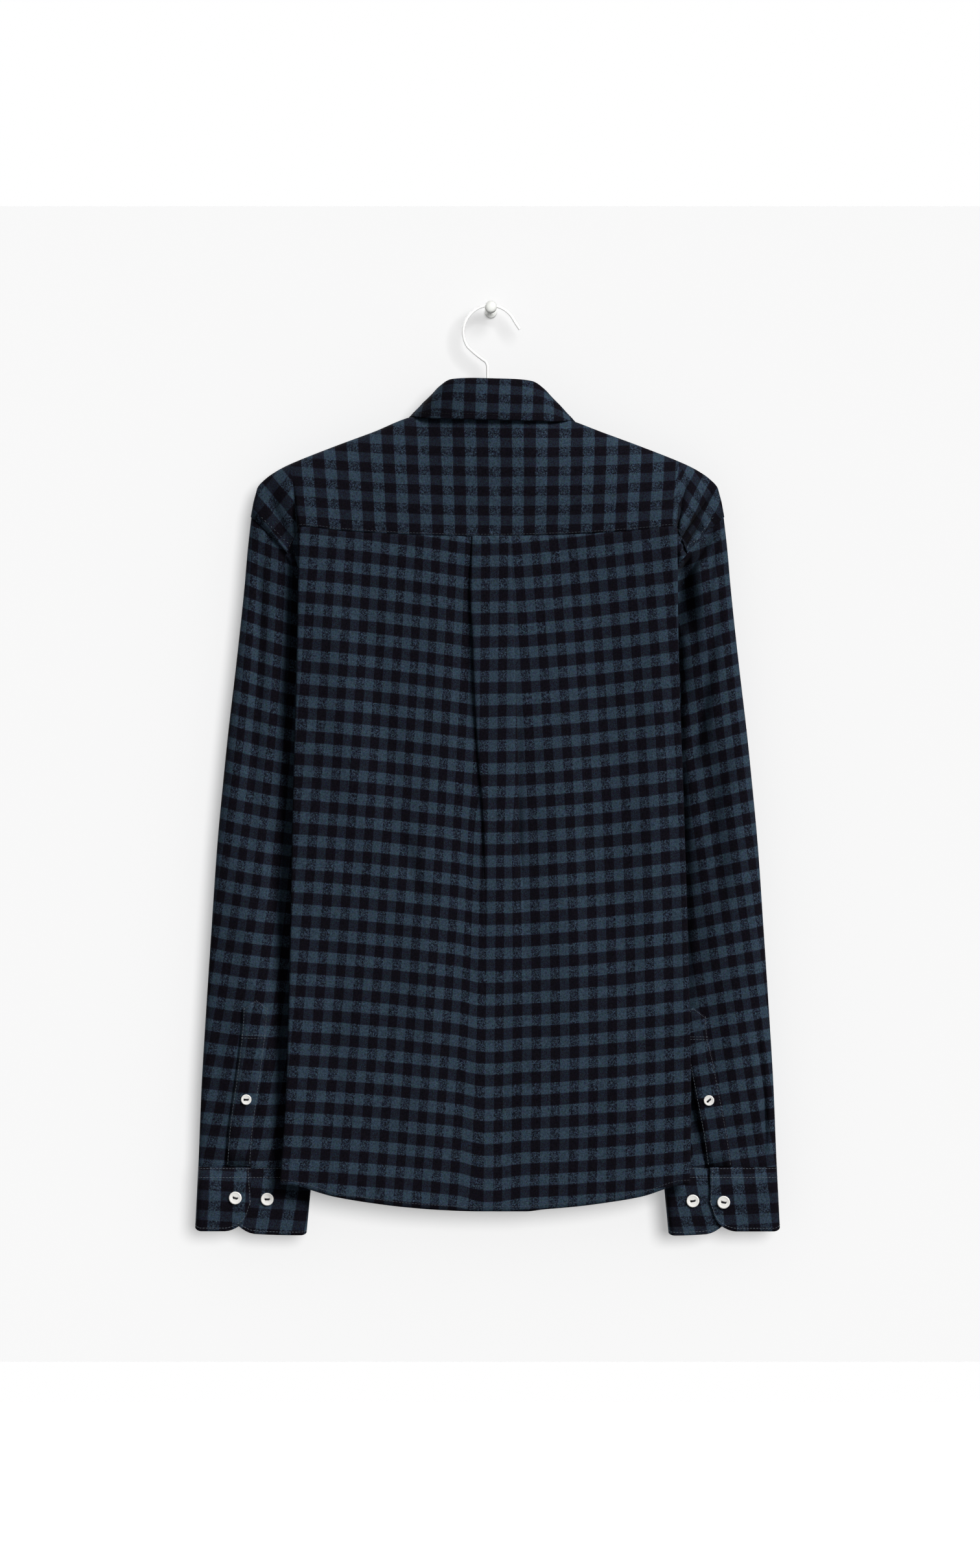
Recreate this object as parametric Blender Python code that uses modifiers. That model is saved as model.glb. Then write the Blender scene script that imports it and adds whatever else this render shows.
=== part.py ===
"""A long-sleeved flannel shirt on a wire hanger that hangs from a turned wall peg.

Frame: +Z up, +X to the right. The wall is the plane Y = 0, and the shirt's back faces -Y.
The origin is the middle of the peg's back face, on the wall. Sizes are in millimetres, and
MM turns them into metres where a mesh is made. Cloth is worked out about the hanger's own
middle, HANGER_X, as a distance across, a depth from the plane MID_Y, and a height.
A face is BACK (-1, away from the wall) or FRONT (+1, towards the wall).
"""

import math

import bmesh
import bpy
import numpy as np

MM = 0.001
BACK, FRONT = -1, 1
LEFT, RIGHT = -1, 1

# Where things hang
HANGER_X = -3.0  # the hanger's middle, to the left of the peg
MID_Y = -34.0  # the plane of the hanger, which halves the shirt's depth
COLLAR_X = 4.0  # collar and front edge, from the hanger's middle
PLEAT_X = 4.0  # box pleat, from the hanger's middle

# Cloth
WALL = 1.2  # one layer of brushed flannel
BAND_WALL = 1.8  # collar band and leaf, two layers with interlining
BAND_OVER_NECK = 1.3  # from the neckline to the band's lower edge
BAND_ROWS = (0.0, 0.25, 0.5, 0.75, 1.0)
BAND_LAP = 0.4  # beyond the fronts' own step, where one end of the band laps over the other
BAND_TIP = 12.0  # from the centre front to the band's end, at its lower edge
BAND_TIP_TOP = 10.0  # and at its top
BAND_TIP_Z, BAND_MIDDLE_Z = -166.0, -158.5  # its top there, and at the centre front
BAND_FRONT_DEPTH = 23.2
COLLAR_TILT = 0.025  # the collar hangs a little lower on the right
CUFF_WALL = 2.2
GAP = 0.3  # between pieces where they are sewn
HALF_DEPTH = 25.0  # from MID_Y to the back, and to the front
ROUNDING = 90.0  # depth is full this far below the shoulder line
SWELL = 1.5  # the panels stand out a little more in their middle
SWELL_WIDTH = 420.0

# Lengths
YOKE_TOP_Z = -101.0
YOKE_SEAM_Z = -212.4  # at the centre back
YOKE_SEAM_RISE = 9.0  # from the centre to the side fold
BACK_HEM_Z = -838.4
FRONT_HEM_Z = -826.0
HEM_RISE = 24.8  # from the centre to the side fold
SIDE_SEAM_HEM_Z = -796.0
HALF_BACK = 174.5  # centre back to the side fold, at the yoke seam

# Armhole seam, as distance across and height
SHOULDER_POINT = np.array([220.0, -194.0])
UNDERARM = np.array([105.0, -396.0])
SIDE_SEAM_END = np.array([132.0, SIDE_SEAM_HEM_Z])
ARMHOLE_BULGE = 20.0  # towards the body, from the straight line between the two
ARMHOLE_DEPTH = 14.0
ARMHOLE_ROUND = 0.4  # how square the flattened armhole and sleeve are
YOKE_BACK_END = 0.20  # share of the armhole, from the shoulder, that the yoke takes
YOKE_FRONT_END = 0.15
UNDERARM_ROW = 0.29  # share of the back's and front's height that is above the underarm
LAP = 1.6  # the sleeve starts this far inside the armhole edge
LAP_DROP = 0.45  # and this share of that below it
SIDE_SEAM_HALF_GAP = 0.35

# The fold at each side: what lies past it turns back to the side seam
LEAF_DEPTH_TOP, LEAF_DEPTH = 13.0, 17.0  # depth of what turns back, at the top and lower down
LEAF_DEEPENS = 0.12  # share of the panel's height over which it gets that deep
LEAF_MOST, CORNER_LEAST = 0.78, 0.75  # limits, as shares of the full depth and of the leaf's
CORNER_OPENS = 0.1  # share of the panel's height over which the corner opens by 1 mm
NEAR_SEAM, ON_LEAF, BEHIND_FOLD = 0.96, 0.72, 0.02  # places, as shares of the way to the seam
FOLD_INSIDE = (0.0, 1.8, 6.0)  # places inside the fold's edge
FOLD_DEPTHS = (0.86, 0.95, 1.0)  # and how deep they are, as shares of the full depth
BEHIND_FOLD_DEPTH = 0.76

# Neck
NECK_HALF = 69.0
NECK_LIFT = 50.0  # how much the hollow of the neck holds the cloth near it apart


def table(names, *rows):
    """Named columns from rows of numbers."""
    return dict(zip(names.split(), np.array(rows, float).T))


# Height of the shoulder line at a distance across
SHOULDER = table(
    "across height",
    (0.0, -76.4),
    (70.0, -101.6),
    (94.8, -110.5),
    (127.9, -122.6),
    (159.7, -134.7),
    (188.3, -146.7),
    (199.1, -152.8),
    (207.1, -158.8),
    (212.7, -164.9),
    (216.3, -170.9),
    (218.2, -176.9),
    (219.2, -184.0),
    (220.2, -195.0),
)

# The edges where the body's sides fold back, by depth below the origin
SIDE_FOLD = table(
    "below left right",
    (200.0, 174.0, 175.0),
    (317.0, 176.0, 176.5),
    (470.0, 180.0, 181.5),
    (620.0, 183.0, 186.0),
    (725.0, 186.0, 188.0),
    (815.0, 192.0, 187.0),
)

# How far the pleat's edges are folded under, and the pitch of its three layers
PLEAT_HALF = 17.0
PLEAT = table(
    "below under pitch",
    (200.0, 14.5, 1.7),
    (300.0, 13.0, 1.7),
    (380.0, 8.0, 1.7),
    (440.0, 3.0, 1.7),
    (480.0, 0.0, 1.7),
    (520.0, -2.5, 1.6),
    (560.0, -4.0, 1.1),
    (640.0, -4.0, 0.0),
    (900.0, -4.0, 0.0),
)
PLEAT_TURN = 0.85
PLEAT_SPREAD = 1.5
PLEAT_REACH = 8.0  # the layers are worked out this far to either side of a fold

# Columns of the back and yoke, out from the centre, at the yoke seam. The inner ones are
# measured from the collar's middle.
OUTER_COLUMNS = (142.0, 107.0)
INNER_COLUMNS = (76.0, 47.0)
YOKE_OUTER = ((148.0, 142.0), (108.0, 107.0))  # at the shoulder, and at the seam

# Neckline and collar, from the centre back to the centre front, for one half.
# neck: lower edge of the band. fold: top of the band. edge: outer edge of the leaf.
# turn: the way out of the loop, in degrees from straight back.
NECK = table(
    "face neck_x neck_z fold_x fold_z fold_depth edge_x edge_z turn",
    (BACK, 0.0, -101.0, 0.0, -71.0, 23.0, 0.0, -105.5, 0.0),
    (BACK, 22.0, -101.0, 20.0, -71.0, 22.0, 30.0, -105.3, 6.0),
    (BACK, 44.0, -101.3, 36.5, -72.0, 18.0, 55.0, -104.8, 25.0),
    (BACK, 60.0, -101.6, 47.0, -77.5, 11.0, 67.0, -103.4, 50.0),
    (FRONT, 69.0, -101.8, 52.5, -85.0, 0.0, 74.5, -99.9, 90.0),
    (FRONT, 68.5, -114.0, 54.0, -94.0, 10.0, 82.5, -118.0, 130.0),
    (FRONT, 66.0, -128.0, 51.0, -103.0, 16.5, 84.0, -146.0, 160.0),
    (FRONT, 52.0, -150.0, 40.0, -124.0, 19.5, 76.0, -174.0, 172.0),
    (FRONT, 34.0, -170.0, 26.0, -141.0, 21.5, 65.0, -197.0, 178.0),
    (FRONT, 16.0, -183.0, 11.0, -153.0, 22.5, 52.0, -213.0, 180.0),
)
NECK_SIDE = 4  # row of NECK where the shoulder line meets the neck
NECK_CORNER = 6  # row of NECK where yoke and front meet at the neck
YOKE_INNER = ((NECK_SIDE, 76.0), (3, 64.0), (2, 47.0), (1, 24.0))  # row of NECK, and at the seam
FRONT_TOPS = ((140.0, -167.0), (106.0, -150.0))  # places on the yoke's front seam
FRONT_FOLD_TOP_Z = -186.0
FRONT_LAPS = ((7, 0.0), (8, 0.6), (9, 1.0))  # row of NECK, and share of the step of the lapped edge
CENTRE_FRONT_Z = -188.0
OVERLAP_Z = -185.0  # the neckline at the front's lapped edge
OVERLAP = 16.0  # each front passes the centre by this
LAP_STEP = 0.9  # lapped fronts lie this far to either side of their shared plane

# The leaf, from inside the band's top edge, over it and down to the leaf's own edge: up from
# the band's top, out of the loop, and share of the way down
LEAF_LIFT = BAND_WALL / 2 + GAP + 0.8
LEAF_ROLL = table(
    "up away down",
    (LEAF_LIFT + 0.1, 0.0, 0.0),
    (LEAF_LIFT + 1.3, 0.8, 0.0),
    (LEAF_LIFT + 1.5, 2.5, 0.0),
    (LEAF_LIFT + 0.3, 3.9, 0.02),
    (-0.6, 4.4, 0.10),
    (0.0, 4.6, 0.35),
    (0.0, 2.9, 0.68),
    (0.0, 0.0, 1.0),
)
LEAF_EDGE_LIFT = 3.5  # the leaf's edge stands off the cloth under it

# Sleeve rings: height of the outer edge, then the inner edge, half the thickness of the
# flattened tube, and how much the ring still bulges towards the body.
SLEEVE = table(
    "outer_z inner_x inner_z depth bulge inset",
    (-194.0, 105.0, -396.0, 14.0, 18.5, 1.0),
    (-212.0, 108.5, -408.0, 12.7, 15.0, 0.2),
    (-240.0, 112.5, -425.0, 12.2, 10.0, 0.0),
    (-290.0, 118.0, -450.0, 12.0, 5.0, 0.0),
    (-360.0, 125.0, -490.0, 12.0, 1.0, 0.0),
    (-450.0, 134.0, -545.0, 12.0, 0.0, 0.0),
    (-540.0, 142.0, -600.0, 12.0, 0.0, 0.0),
    (-640.0, 150.0, -665.0, 11.5, 0.0, 0.0),
    (-730.0, 157.0, -738.0, 11.0, 0.0, 0.0),
    (-798.0, 162.5, -798.0, 10.0, 0.0, 0.0),
)
# The sleeve's outer edge, by depth below the origin
SLEEVE_OUTLINE = table(
    "below across",
    (190.0, 219.6),
    (228.0, 223.7),
    (255.0, 226.0),
    (328.0, 233.7),
    (400.0, 242.1),
    (436.5, 245.8),
    (497.0, 251.5),
    (581.0, 257.3),
    (654.0, 262.1),
    (726.0, 266.4),
    (798.6, 269.4),
    (829.0, 271.3),
    (847.0, 272.3),
    (862.0, 272.0),
)
# Soft troughs down the sleeves: where they start and end, how far across, depth and width
SLEEVE_TROUGHS = (
    {"side": LEFT, "face": BACK, "top": -230, "bottom": -520, "across": 0.36, "deep": 4.0, "wide": 0.10},
    {"side": RIGHT, "face": BACK, "top": -220, "bottom": -600, "across": 0.33, "deep": 4.5, "wide": 0.09},
    {"side": LEFT, "face": FRONT, "top": -240, "bottom": -560, "across": 0.40, "deep": 4.0, "wide": 0.10},
    {"side": RIGHT, "face": FRONT, "top": -240, "bottom": -500, "across": 0.42, "deep": 4.0, "wide": 0.10},
)

# Cuffs
CUFF_TOP_Z = -798.45
CUFF_DEPTH = 8.0
CUFF_BOW = 0.4
CUFF_INNER_TOP, CUFF_INNER_HEM = 162.5, 168.5
CUFF_UNDERLAP = 25.0  # the end underneath goes this far past the end on top
CUFF_LAP_CORNER = 26.0  # radius of the rounded end on top
CUFF_UNDER_CORNER = 32.0  # and of the end underneath
CUFF_END_GAP = 0.35  # between the two ends
CUFF_FULL = 60.0  # far enough from an end to have no corner
CUFF_HEM_BELOW = 850.0
CUFF_ROWS = (0.0, 0.35, 0.65, 0.85, 1.0)
CUFF_SPANS = (2, 2, 3, 1, 1, 1, 4, 1, 1, 1, 3, 2, 3)
CUFFS = {
    LEFT: {"lap": 219.8, "lap_hem": -856.4, "under_hem": -860.4},
    RIGHT: {"lap": 206.6, "lap_hem": -856.6, "under_hem": -860.6},
}

# The cuffs' buttons, on the end on top and the end underneath: across and height
CUFF_BUTTONS = {LEFT: ((234.2, -827.0), (204.7, -828.4)), RIGHT: ((219.2, -831.0), (190.7, -830.0))}

# Sleeve plackets: their middle line, across by depth below the origin
PLACKET_WALL = 1.4
PLACKET_HALF = 11.8
PLACKET_POINT = 9.0
PLACKET_POINT_SHARE = 0.2  # share of the strip's length that the point takes
PLACKET_LIFT = 0.2  # beyond a seam's gap, above the sleeve
PLACKET_ROWS = (0.0, 0.06, 0.12, 0.2, 0.35, 0.5, 0.65, 0.8, 0.9, 1.0)
STRIP_PARTS = (-1.0, -0.5, 0.0, 0.5, 1.0)  # places across a strip, from edge to edge
PLACKETS = {
    LEFT: table(
        "below across",
        (642.0, 214.5),
        (674.5, 217.0),
        (715.0, 221.9),
        (764.5, 228.8),
        (797.6, 231.2),
    ),
    RIGHT: table(
        "below across",
        (650.0, 191.0),
        (678.0, 193.0),
        (703.0, 199.1),
        (735.0, 205.1),
        (765.7, 211.1),
        (797.6, 215.6),
    ),
}
PLACKET_BUTTONS = {LEFT: (224.0, -735.6), RIGHT: (205.5, -736.4)}

# Front placket and its buttons
FRONT_PLACKET_HALF = 15.6
FRONT_PLACKET_TOP_GAP = 1.2
FRONT_PLACKET_HEM_Z = FRONT_HEM_Z + 0.6
FRONT_PLACKET_ROWS = (0.0, 0.05, 0.12, 0.25, 0.4, 0.55, 0.7, 0.85, 1.0)
FRONT_BUTTONS_Z = (-235.0, -320.0, -405.0, -490.0, -575.0, -660.0)
COLLAR_BUTTON_Z = -171.0

# Buttons, as a turned profile of radius and height for a button of radius 1
BUTTON_PROFILE = ((0.0, 0.15), (0.6, 0.15), (0.74, 0.24), (0.9, 0.24), (1.0, 0.14), (0.94, 0.0), (0.0, 0.0))
CUFF_BUTTON_RADIUS = 6.0
SMALL_BUTTON_RADIUS = 4.9
FRONT_BUTTON_RADIUS = 5.5
BUTTON_SIDES = 12
BUTTON_GAP = 3.5 * GAP  # under the cuffs' buttons, which stand on their thread
PLACKET_BUTTON_GAP = 0.15

# Hanger and peg
WIRE_RADIUS = 1.35
ARM_RADIUS = 4.5
ARM_END = 198.0
ARM_CLEARANCE = 0.9
ARM_NECK_DROP = 6.0  # the arms lie lower than the shoulder line near the neck
HOOK_CENTRE = np.array([2.3, -21.5])  # from the hanger's middle
HOOK_RADIUS = 24.85
HOOK_START, HOOK_END = 27.0, 214.0  # degrees
HOOK_TIP = ((30.1, -19.0), (27.0, -14.3))
HOOK_NECK = ((-11.9, -41.4), (-5.4, -46.5), (-1.3, -49.8), (0.0, -54.0), (0.0, -66.0), (0.0, -96.0))
HANGER_TOP_Z = -94.0
PEG_PROFILE = (
    (0.0, 0.0),
    (5.5, 0.0),
    (5.5, -3.4),
    (4.9, -4.0),
    (1.6, -4.4),
    (1.6, -47.6),
    (4.9, -48.0),
    (5.5, -48.7),
    (5.5, -57.0),
    (4.6, -58.8),
    (2.6, -59.7),
    (0.0, -60.0),
)
PEG_SIDES = 24

COLOURS = {
    "flannel": ((0.020, 0.030, 0.045, 1.0), 0.95, 0.0),
    "button": ((0.72, 0.71, 0.67, 1.0), 0.30, 0.0),
    "painted metal": ((0.86, 0.86, 0.84, 1.0), 0.40, 0.0),
    "turned peg": ((0.70, 0.69, 0.66, 1.0), 0.50, 0.0),
}


# ---------------------------------------------------------------- smooth lines


def slopes(x, y):
    """Slopes at the knots that keep a cubic through them from overshooting."""
    step = np.diff(x)[:, None]
    rise = np.diff(y, axis=0) / step
    found = np.zeros_like(y)
    found[0], found[-1] = rise[0], rise[-1]
    before, after = rise[:-1], rise[1:]
    same_way = before * after > 0
    heavy, light = 2 * step[1:] + step[:-1], step[1:] + 2 * step[:-1]
    safe_before = np.where(same_way, before, 1.0)
    safe_after = np.where(same_way, after, 1.0)
    mean = (heavy + light) / (heavy / safe_before + light / safe_after)
    found[1:-1] = np.where(same_way, mean, 0.0)
    return found


def read_curve(x, y, at):
    """The rows of y, given at the knots x, read smoothly at each place in at."""
    x, y, at = np.asarray(x, float), np.asarray(y, float), np.asarray(at, float)
    slope = slopes(x, y)
    k = np.clip(np.searchsorted(x, at, side="right") - 1, 0, len(x) - 2)
    width = (x[k + 1] - x[k])[:, None]
    t = np.clip((at - x[k])[:, None] / width, 0.0, 1.0)
    return (
        y[k] * (1 + 2 * t) * (1 - t) ** 2
        + slope[k] * width * t * (1 - t) ** 2
        + y[k + 1] * t * t * (3 - 2 * t)
        + slope[k + 1] * width * t * t * (t - 1)
    )


def read(columns, key, name, at):
    """One column of a table at one place of its key column."""
    return float(read_curve(columns[key], columns[name][:, None], [at])[0, 0])


def through(points, spans):
    """A smooth line through the points, with each span between two cut into so many pieces."""
    points = np.array(points, float)
    run = np.concatenate([[0.0], np.cumsum(np.linalg.norm(np.diff(points, axis=0), axis=1))])
    at = [run[0]]
    for k, pieces in enumerate(spans):
        at += [run[k] + (run[k + 1] - run[k]) * n / pieces for n in range(1, pieces + 1)]
    return read_curve(run, points, at)


def blend(a, b, share):
    return a + (b - a) * share


# ---------------------------------------------------------------- form of the shirt


def shoulder_z(across):
    """Height of the cloth's middle along the shoulder line."""
    return read(SHOULDER, "across", "height", abs(across)) - WALL / 2


def fullness(drop):
    """Share of the full depth at a distance below the shoulder line: a rounded shoulder."""
    t = min(max(drop / ROUNDING, 0.0), 1.0)
    return math.sqrt(1 - (1 - t) ** 2)


def body_depth(across, z):
    """Depth of the flat of the back or front, from MID_Y."""
    from_neck = min(abs(across - COLLAR_X * (abs(across) < NECK_HALF)) / NECK_HALF, 1.0)
    top = shoulder_z(across) + NECK_LIFT * (1 - from_neck**2) ** 2
    down = min(max((YOKE_TOP_Z - z) / (YOKE_TOP_Z - BACK_HEM_Z), 0.0), 1.0)
    swell = SWELL * math.sin(math.pi * down) * math.cos(math.pi * across / SWELL_WIDTH)
    return HALF_DEPTH * fullness(top - z) + swell


def flat_oval(share):
    """Thickness of a flattened tube at a share of its width, from 0 at an edge to 1."""
    return max(4 * share * (1 - share), 0.0) ** ARMHOLE_ROUND


def ring_point(outer, inner, bulge, depth, share, side, face):
    """A point of a flattened ring between its outer and inner edges."""
    way = (inner - outer) / np.linalg.norm(inner - outer)
    across, z = blend(outer, inner, share) + bulge * 4 * share * (1 - share) * np.array([way[1], -way[0]])
    return np.array([side * across, MID_Y + face * depth * flat_oval(share), z])


def armhole(side, share, face):
    """A point of the body's armhole edge, from the shoulder (0) to the underarm (1)."""
    return ring_point(SHOULDER_POINT, UNDERARM, ARMHOLE_BULGE, ARMHOLE_DEPTH, share, side, face)


def side_end(side, v, face, first_share):
    """The side end of a body row: the armhole edge down to the underarm, then the side seam."""
    if v < UNDERARM_ROW:
        share = blend(first_share, 1.0, v / UNDERARM_ROW)
        point = armhole(side, share, face)
    else:
        across, z = blend(UNDERARM, SIDE_SEAM_END, (v - UNDERARM_ROW) / (1 - UNDERARM_ROW))
        point = np.array([side * across, MID_Y, z])
    point[1] = MID_Y + face * max(face * (point[1] - MID_Y), SIDE_SEAM_HALF_GAP)
    return point


def side_fold(side, z):
    return read(SIDE_FOLD, "below", "left" if side == LEFT else "right", -z)


def side_points(side, v, face, fold_z, first_share):
    """The points of a body row from its side end, round the fold, to the flat."""
    end = side_end(side, v, face, first_share)
    fold = side_fold(side, fold_z)
    full = body_depth(fold, fold_z)
    end_across = side * end[0]
    leaf = min(blend(LEAF_DEPTH_TOP, LEAF_DEPTH, min(v / LEAF_DEEPENS, 1.0)), LEAF_MOST * full)
    corner = max(abs(end[1] - MID_Y) + min(v / CORNER_OPENS, 1.0), CORNER_LEAST * leaf)
    points = [end]
    for share, depth in ((NEAR_SEAM, corner), (ON_LEAF, leaf), (BEHIND_FOLD, BEHIND_FOLD_DEPTH * full)):
        across, z = blend(fold, end_across, share), blend(fold_z, end[2], share)
        points.append(np.array([side * across, MID_Y + face * depth, z]))
    for inside, share in zip(FOLD_INSIDE, FOLD_DEPTHS):
        points.append(np.array([side * (fold - inside), MID_Y + face * share * full, fold_z]))
    return points


SIDE_SPANS = (1, 2, 2, 1, 1, 1)


def yoke_seam_z(across):
    return YOKE_SEAM_Z + YOKE_SEAM_RISE * (across / HALF_BACK) ** 2


def back_z(across, v, fold):
    """Height of a row of the back: from the yoke seam to the hem, both curved."""
    top = yoke_seam_z(across)
    hem = BACK_HEM_Z + HEM_RISE * (across / fold) ** 2
    return blend(top, hem, v)


def flat_of_back(across, z):
    return np.array([across, MID_Y - body_depth(across, z), z])


def pleat_points(edge, way, z):
    """One edge of the box pleat: flat, folded under, back and over, as three layers."""
    under = read(PLEAT, "below", "under", -z)
    pitch = read(PLEAT, "below", "pitch", -z)
    open_share = min(max((1 - under) / 5, 0.0), 1.0)
    turn = PLEAT_TURN * (1 - open_share)
    spread = PLEAT_SPREAD * open_share
    low, middle, high = -pitch, 0.0, pitch
    rows = (
        (-PLEAT_REACH, low),
        (under - spread, low),
        (under + turn, (low + middle) / 2),
        (under + spread, middle),
        (-spread, middle),
        (-turn, (middle + high) / 2),
        (spread, high),
        (PLEAT_REACH, high),
    )
    return [
        np.array([edge + way * along, MID_Y + BACK * (body_depth(edge + way * along, z) + rise), z])
        for along, rise in rows
    ]


BACK_HALF_SPANS = (*SIDE_SPANS, *[1] * 12)  # five for the flat and seven for a pleat's edge
BACK_SPANS = (*BACK_HALF_SPANS, 1, *BACK_HALF_SPANS[::-1])


def back_row(v):
    """One row of the back panel from its left end to its right end."""
    fold_z = blend(yoke_seam_z(HALF_BACK), BACK_HEM_Z + HEM_RISE, v)
    fold = side_fold(LEFT, fold_z)
    flats = {}
    for side in (LEFT, RIGHT):
        places = [side * out for out in OUTER_COLUMNS] + [COLLAR_X + side * out for out in INNER_COLUMNS]
        flats[side] = [flat_of_back(across, back_z(across, v, fold)) for across in places]
    z = back_z(PLEAT_X, v, fold)
    points = side_points(LEFT, v, BACK, fold_z, YOKE_BACK_END) + flats[LEFT]
    points += pleat_points(PLEAT_X - PLEAT_HALF, 1, z)
    points += pleat_points(PLEAT_X + PLEAT_HALF, -1, z)[::-1]
    points += flats[RIGHT][::-1] + side_points(RIGHT, v, BACK, fold_z, YOKE_BACK_END)[::-1]
    return through(points, BACK_SPANS)


def neck_point(side, row):
    """Across, depth and height of the lower edge of the collar band."""
    across = COLLAR_X + side * NECK["neck_x"][row]
    if row == NECK_SIDE:
        return across, 0.0, shoulder_z(across)
    z = NECK["neck_z"][row]
    return across, body_depth(across, z), z


def neck_between(side, row):
    """A point of the neckline between two rows of NECK."""
    rows = range(len(NECK["face"]))
    line = []
    for k in rows:
        across, depth, z = neck_point(side, k)
        line.append((across, MID_Y + NECK["face"][k] * depth, z))
    return read_curve(list(rows), line, [row])[0]


def front_points(side, v):
    """One row of a front from its side end to its lapped edge."""
    lap = FRONT * (LAP_STEP if side == LEFT else -LAP_STEP)
    fold_z = blend(FRONT_FOLD_TOP_Z, FRONT_HEM_Z + HEM_RISE, v)
    fold = side_fold(side, fold_z)
    points = side_points(side, v, FRONT, fold_z, YOKE_FRONT_END)
    corner_x, _, corner_z = neck_point(side, NECK_CORNER)
    tops = [(side * across, z, 0.0) for across, z in FRONT_TOPS] + [(corner_x, corner_z, 0.0)]
    for row, share in FRONT_LAPS:
        across, _, z = neck_point(side, row)
        tops.append((across, z, share))
    tops.append((COLLAR_X, CENTRE_FRONT_Z, 1.0))
    tops.append((COLLAR_X - side * OVERLAP, OVERLAP_Z, 1.0))
    for across, top, share in tops:
        hem = FRONT_HEM_Z + HEM_RISE * (across / fold) ** 2
        z = blend(top, hem, v)
        depth = body_depth(across, z) + lap * share
        points.append(np.array([across, MID_Y + FRONT * depth, z]))
    return points


FRONT_SPANS = (*SIDE_SPANS, 1, 1, 1, 1, 1, 1, 1, 1)
YOKE_FRONT_POINTS = 10  # the points of a front's top row that the yoke is sewn to


SHOULDER_ACROSS = (214.0, 206.0, 197.0, 190.0, 186.0, 182.0)
YOKE_HALF_SPANS = (*SIDE_SPANS, 1, 1, 1, 1, 1, 1)
YOKE_SPANS = (*YOKE_HALF_SPANS, 1, 1, *YOKE_HALF_SPANS[::-1])


def yoke_columns(side):
    """The yoke's points on the outer part of the shoulder line, from the armhole."""
    tops = [SHOULDER_POINT * (side, 1)]
    for across in SHOULDER_ACROSS:
        tops.append(np.array([side * across, shoulder_z(across)]))
    return tops


def yoke_back_row(t):
    """One row of the yoke's back, from the shoulder and neckline (0) to the yoke seam (1)."""
    seam_ends = {
        side: side_points(side, 0.0, BACK, yoke_seam_z(HALF_BACK), YOKE_BACK_END)
        for side in (LEFT, RIGHT)
    }
    points = []
    for side in (LEFT, RIGHT):
        half = []
        for k, (top, seam) in enumerate(zip(yoke_columns(side), seam_ends[side])):
            half.append(yoke_point(top, seam, t) if k else armhole(side, YOKE_BACK_END * t, BACK))
        for across, seam_x in YOKE_OUTER:
            top = np.array([side * across, shoulder_z(across)])
            seam = flat_of_back(side * seam_x, yoke_seam_z(seam_x))
            half.append(yoke_point(top, seam, t))
        for row, seam_x in YOKE_INNER:
            across, depth, z = neck_point(side, row)
            seam_x = COLLAR_X + side * seam_x
            seam = flat_of_back(seam_x, yoke_seam_z(seam_x))
            if row == NECK_SIDE:
                half.append(yoke_point(np.array([across, z]), seam, t))
                continue
            x, height = blend(across, seam[0], t), blend(z, seam[2], t)
            half.append(np.array([x, MID_Y - body_depth(x, height), height]))
        if side == LEFT:
            points += half
            height = blend(NECK["neck_z"][0], YOKE_SEAM_Z, t)
            points.append(flat_of_back(COLLAR_X, height))
        else:
            points += half[::-1]
    return through(points, YOKE_SPANS)


def yoke_point(top, seam, t):
    """A point between the shoulder line and a seam, rounded over the shoulder."""
    across, z = blend(top[0], seam[0], t), blend(top[1], seam[2], t)
    drop = top[1] - seam[2]
    depth = (seam[1] - MID_Y) * fullness(t * drop) / fullness(drop)
    return np.array([across, MID_Y + depth, z])


def yoke_front_row(side, t):
    """One row of the yoke's front part on one side, from the shoulder (0) to the front seam (1)."""
    seam_points = front_points(side, 0.0)[:YOKE_FRONT_POINTS]
    tops = yoke_columns(side)
    for across, _ in YOKE_OUTER:
        tops.append(np.array([side * across, shoulder_z(across)]))
    points = [armhole(side, YOKE_FRONT_END * t, FRONT)]
    points += [yoke_point(top, seam, t) for top, seam in zip(tops[1:], seam_points[1:])]
    points.append(neck_between(side, blend(NECK_SIDE, NECK_CORNER, t)))
    return through(points, (*SIDE_SPANS, 1, 1, 1))


# ---------------------------------------------------------------- sleeves and cuffs


def trough(side, face, share, z):
    """How far the sleeve's soft troughs press a point towards its middle plane."""
    pressed = 0.0
    for fold in SLEEVE_TROUGHS:
        if (fold["side"], fold["face"]) != (side, face):
            continue
        along = (z - fold["bottom"]) / (fold["top"] - fold["bottom"])
        if 0.0 < along < 1.0:
            across = (share - fold["across"]) / fold["wide"]
            pressed += fold["deep"] * math.sin(math.pi * along) ** 0.7 * math.exp(-(across**2))
    return pressed


def sleeve_edges(row):
    outer_z = read(SLEEVE, "row", "outer_z", row)
    lap = read(SLEEVE, "row", "inset", row) * LAP
    inset = lap + WALL / 2
    outer_x = read(SLEEVE_OUTLINE, "below", "across", -outer_z) - WALL / 2
    outer = np.array([outer_x, outer_z - LAP_DROP * lap])
    inner = np.array([read(SLEEVE, "row", "inner_x", row) + inset, read(SLEEVE, "row", "inner_z", row)])
    return outer, inner


def sleeve_ring(side, row, around):
    """One ring of a sleeve, from its outer edge over the back face and round the front."""
    outer, inner = sleeve_edges(row)
    depth = read(SLEEVE, "row", "depth", row) - read(SLEEVE, "row", "inset", row) * LAP
    bulge = read(SLEEVE, "row", "bulge", row)
    ring = []
    for k in range(around):
        turn = 2 * math.pi * k / around
        share = (1 - math.cos(turn)) / 2
        face = BACK if turn < math.pi else FRONT
        point = ring_point(outer, inner, bulge, depth, share, side, face)
        point[1] -= face * trough(side, face, share, point[2])
        ring.append(point)
    return np.array(ring)


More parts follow.
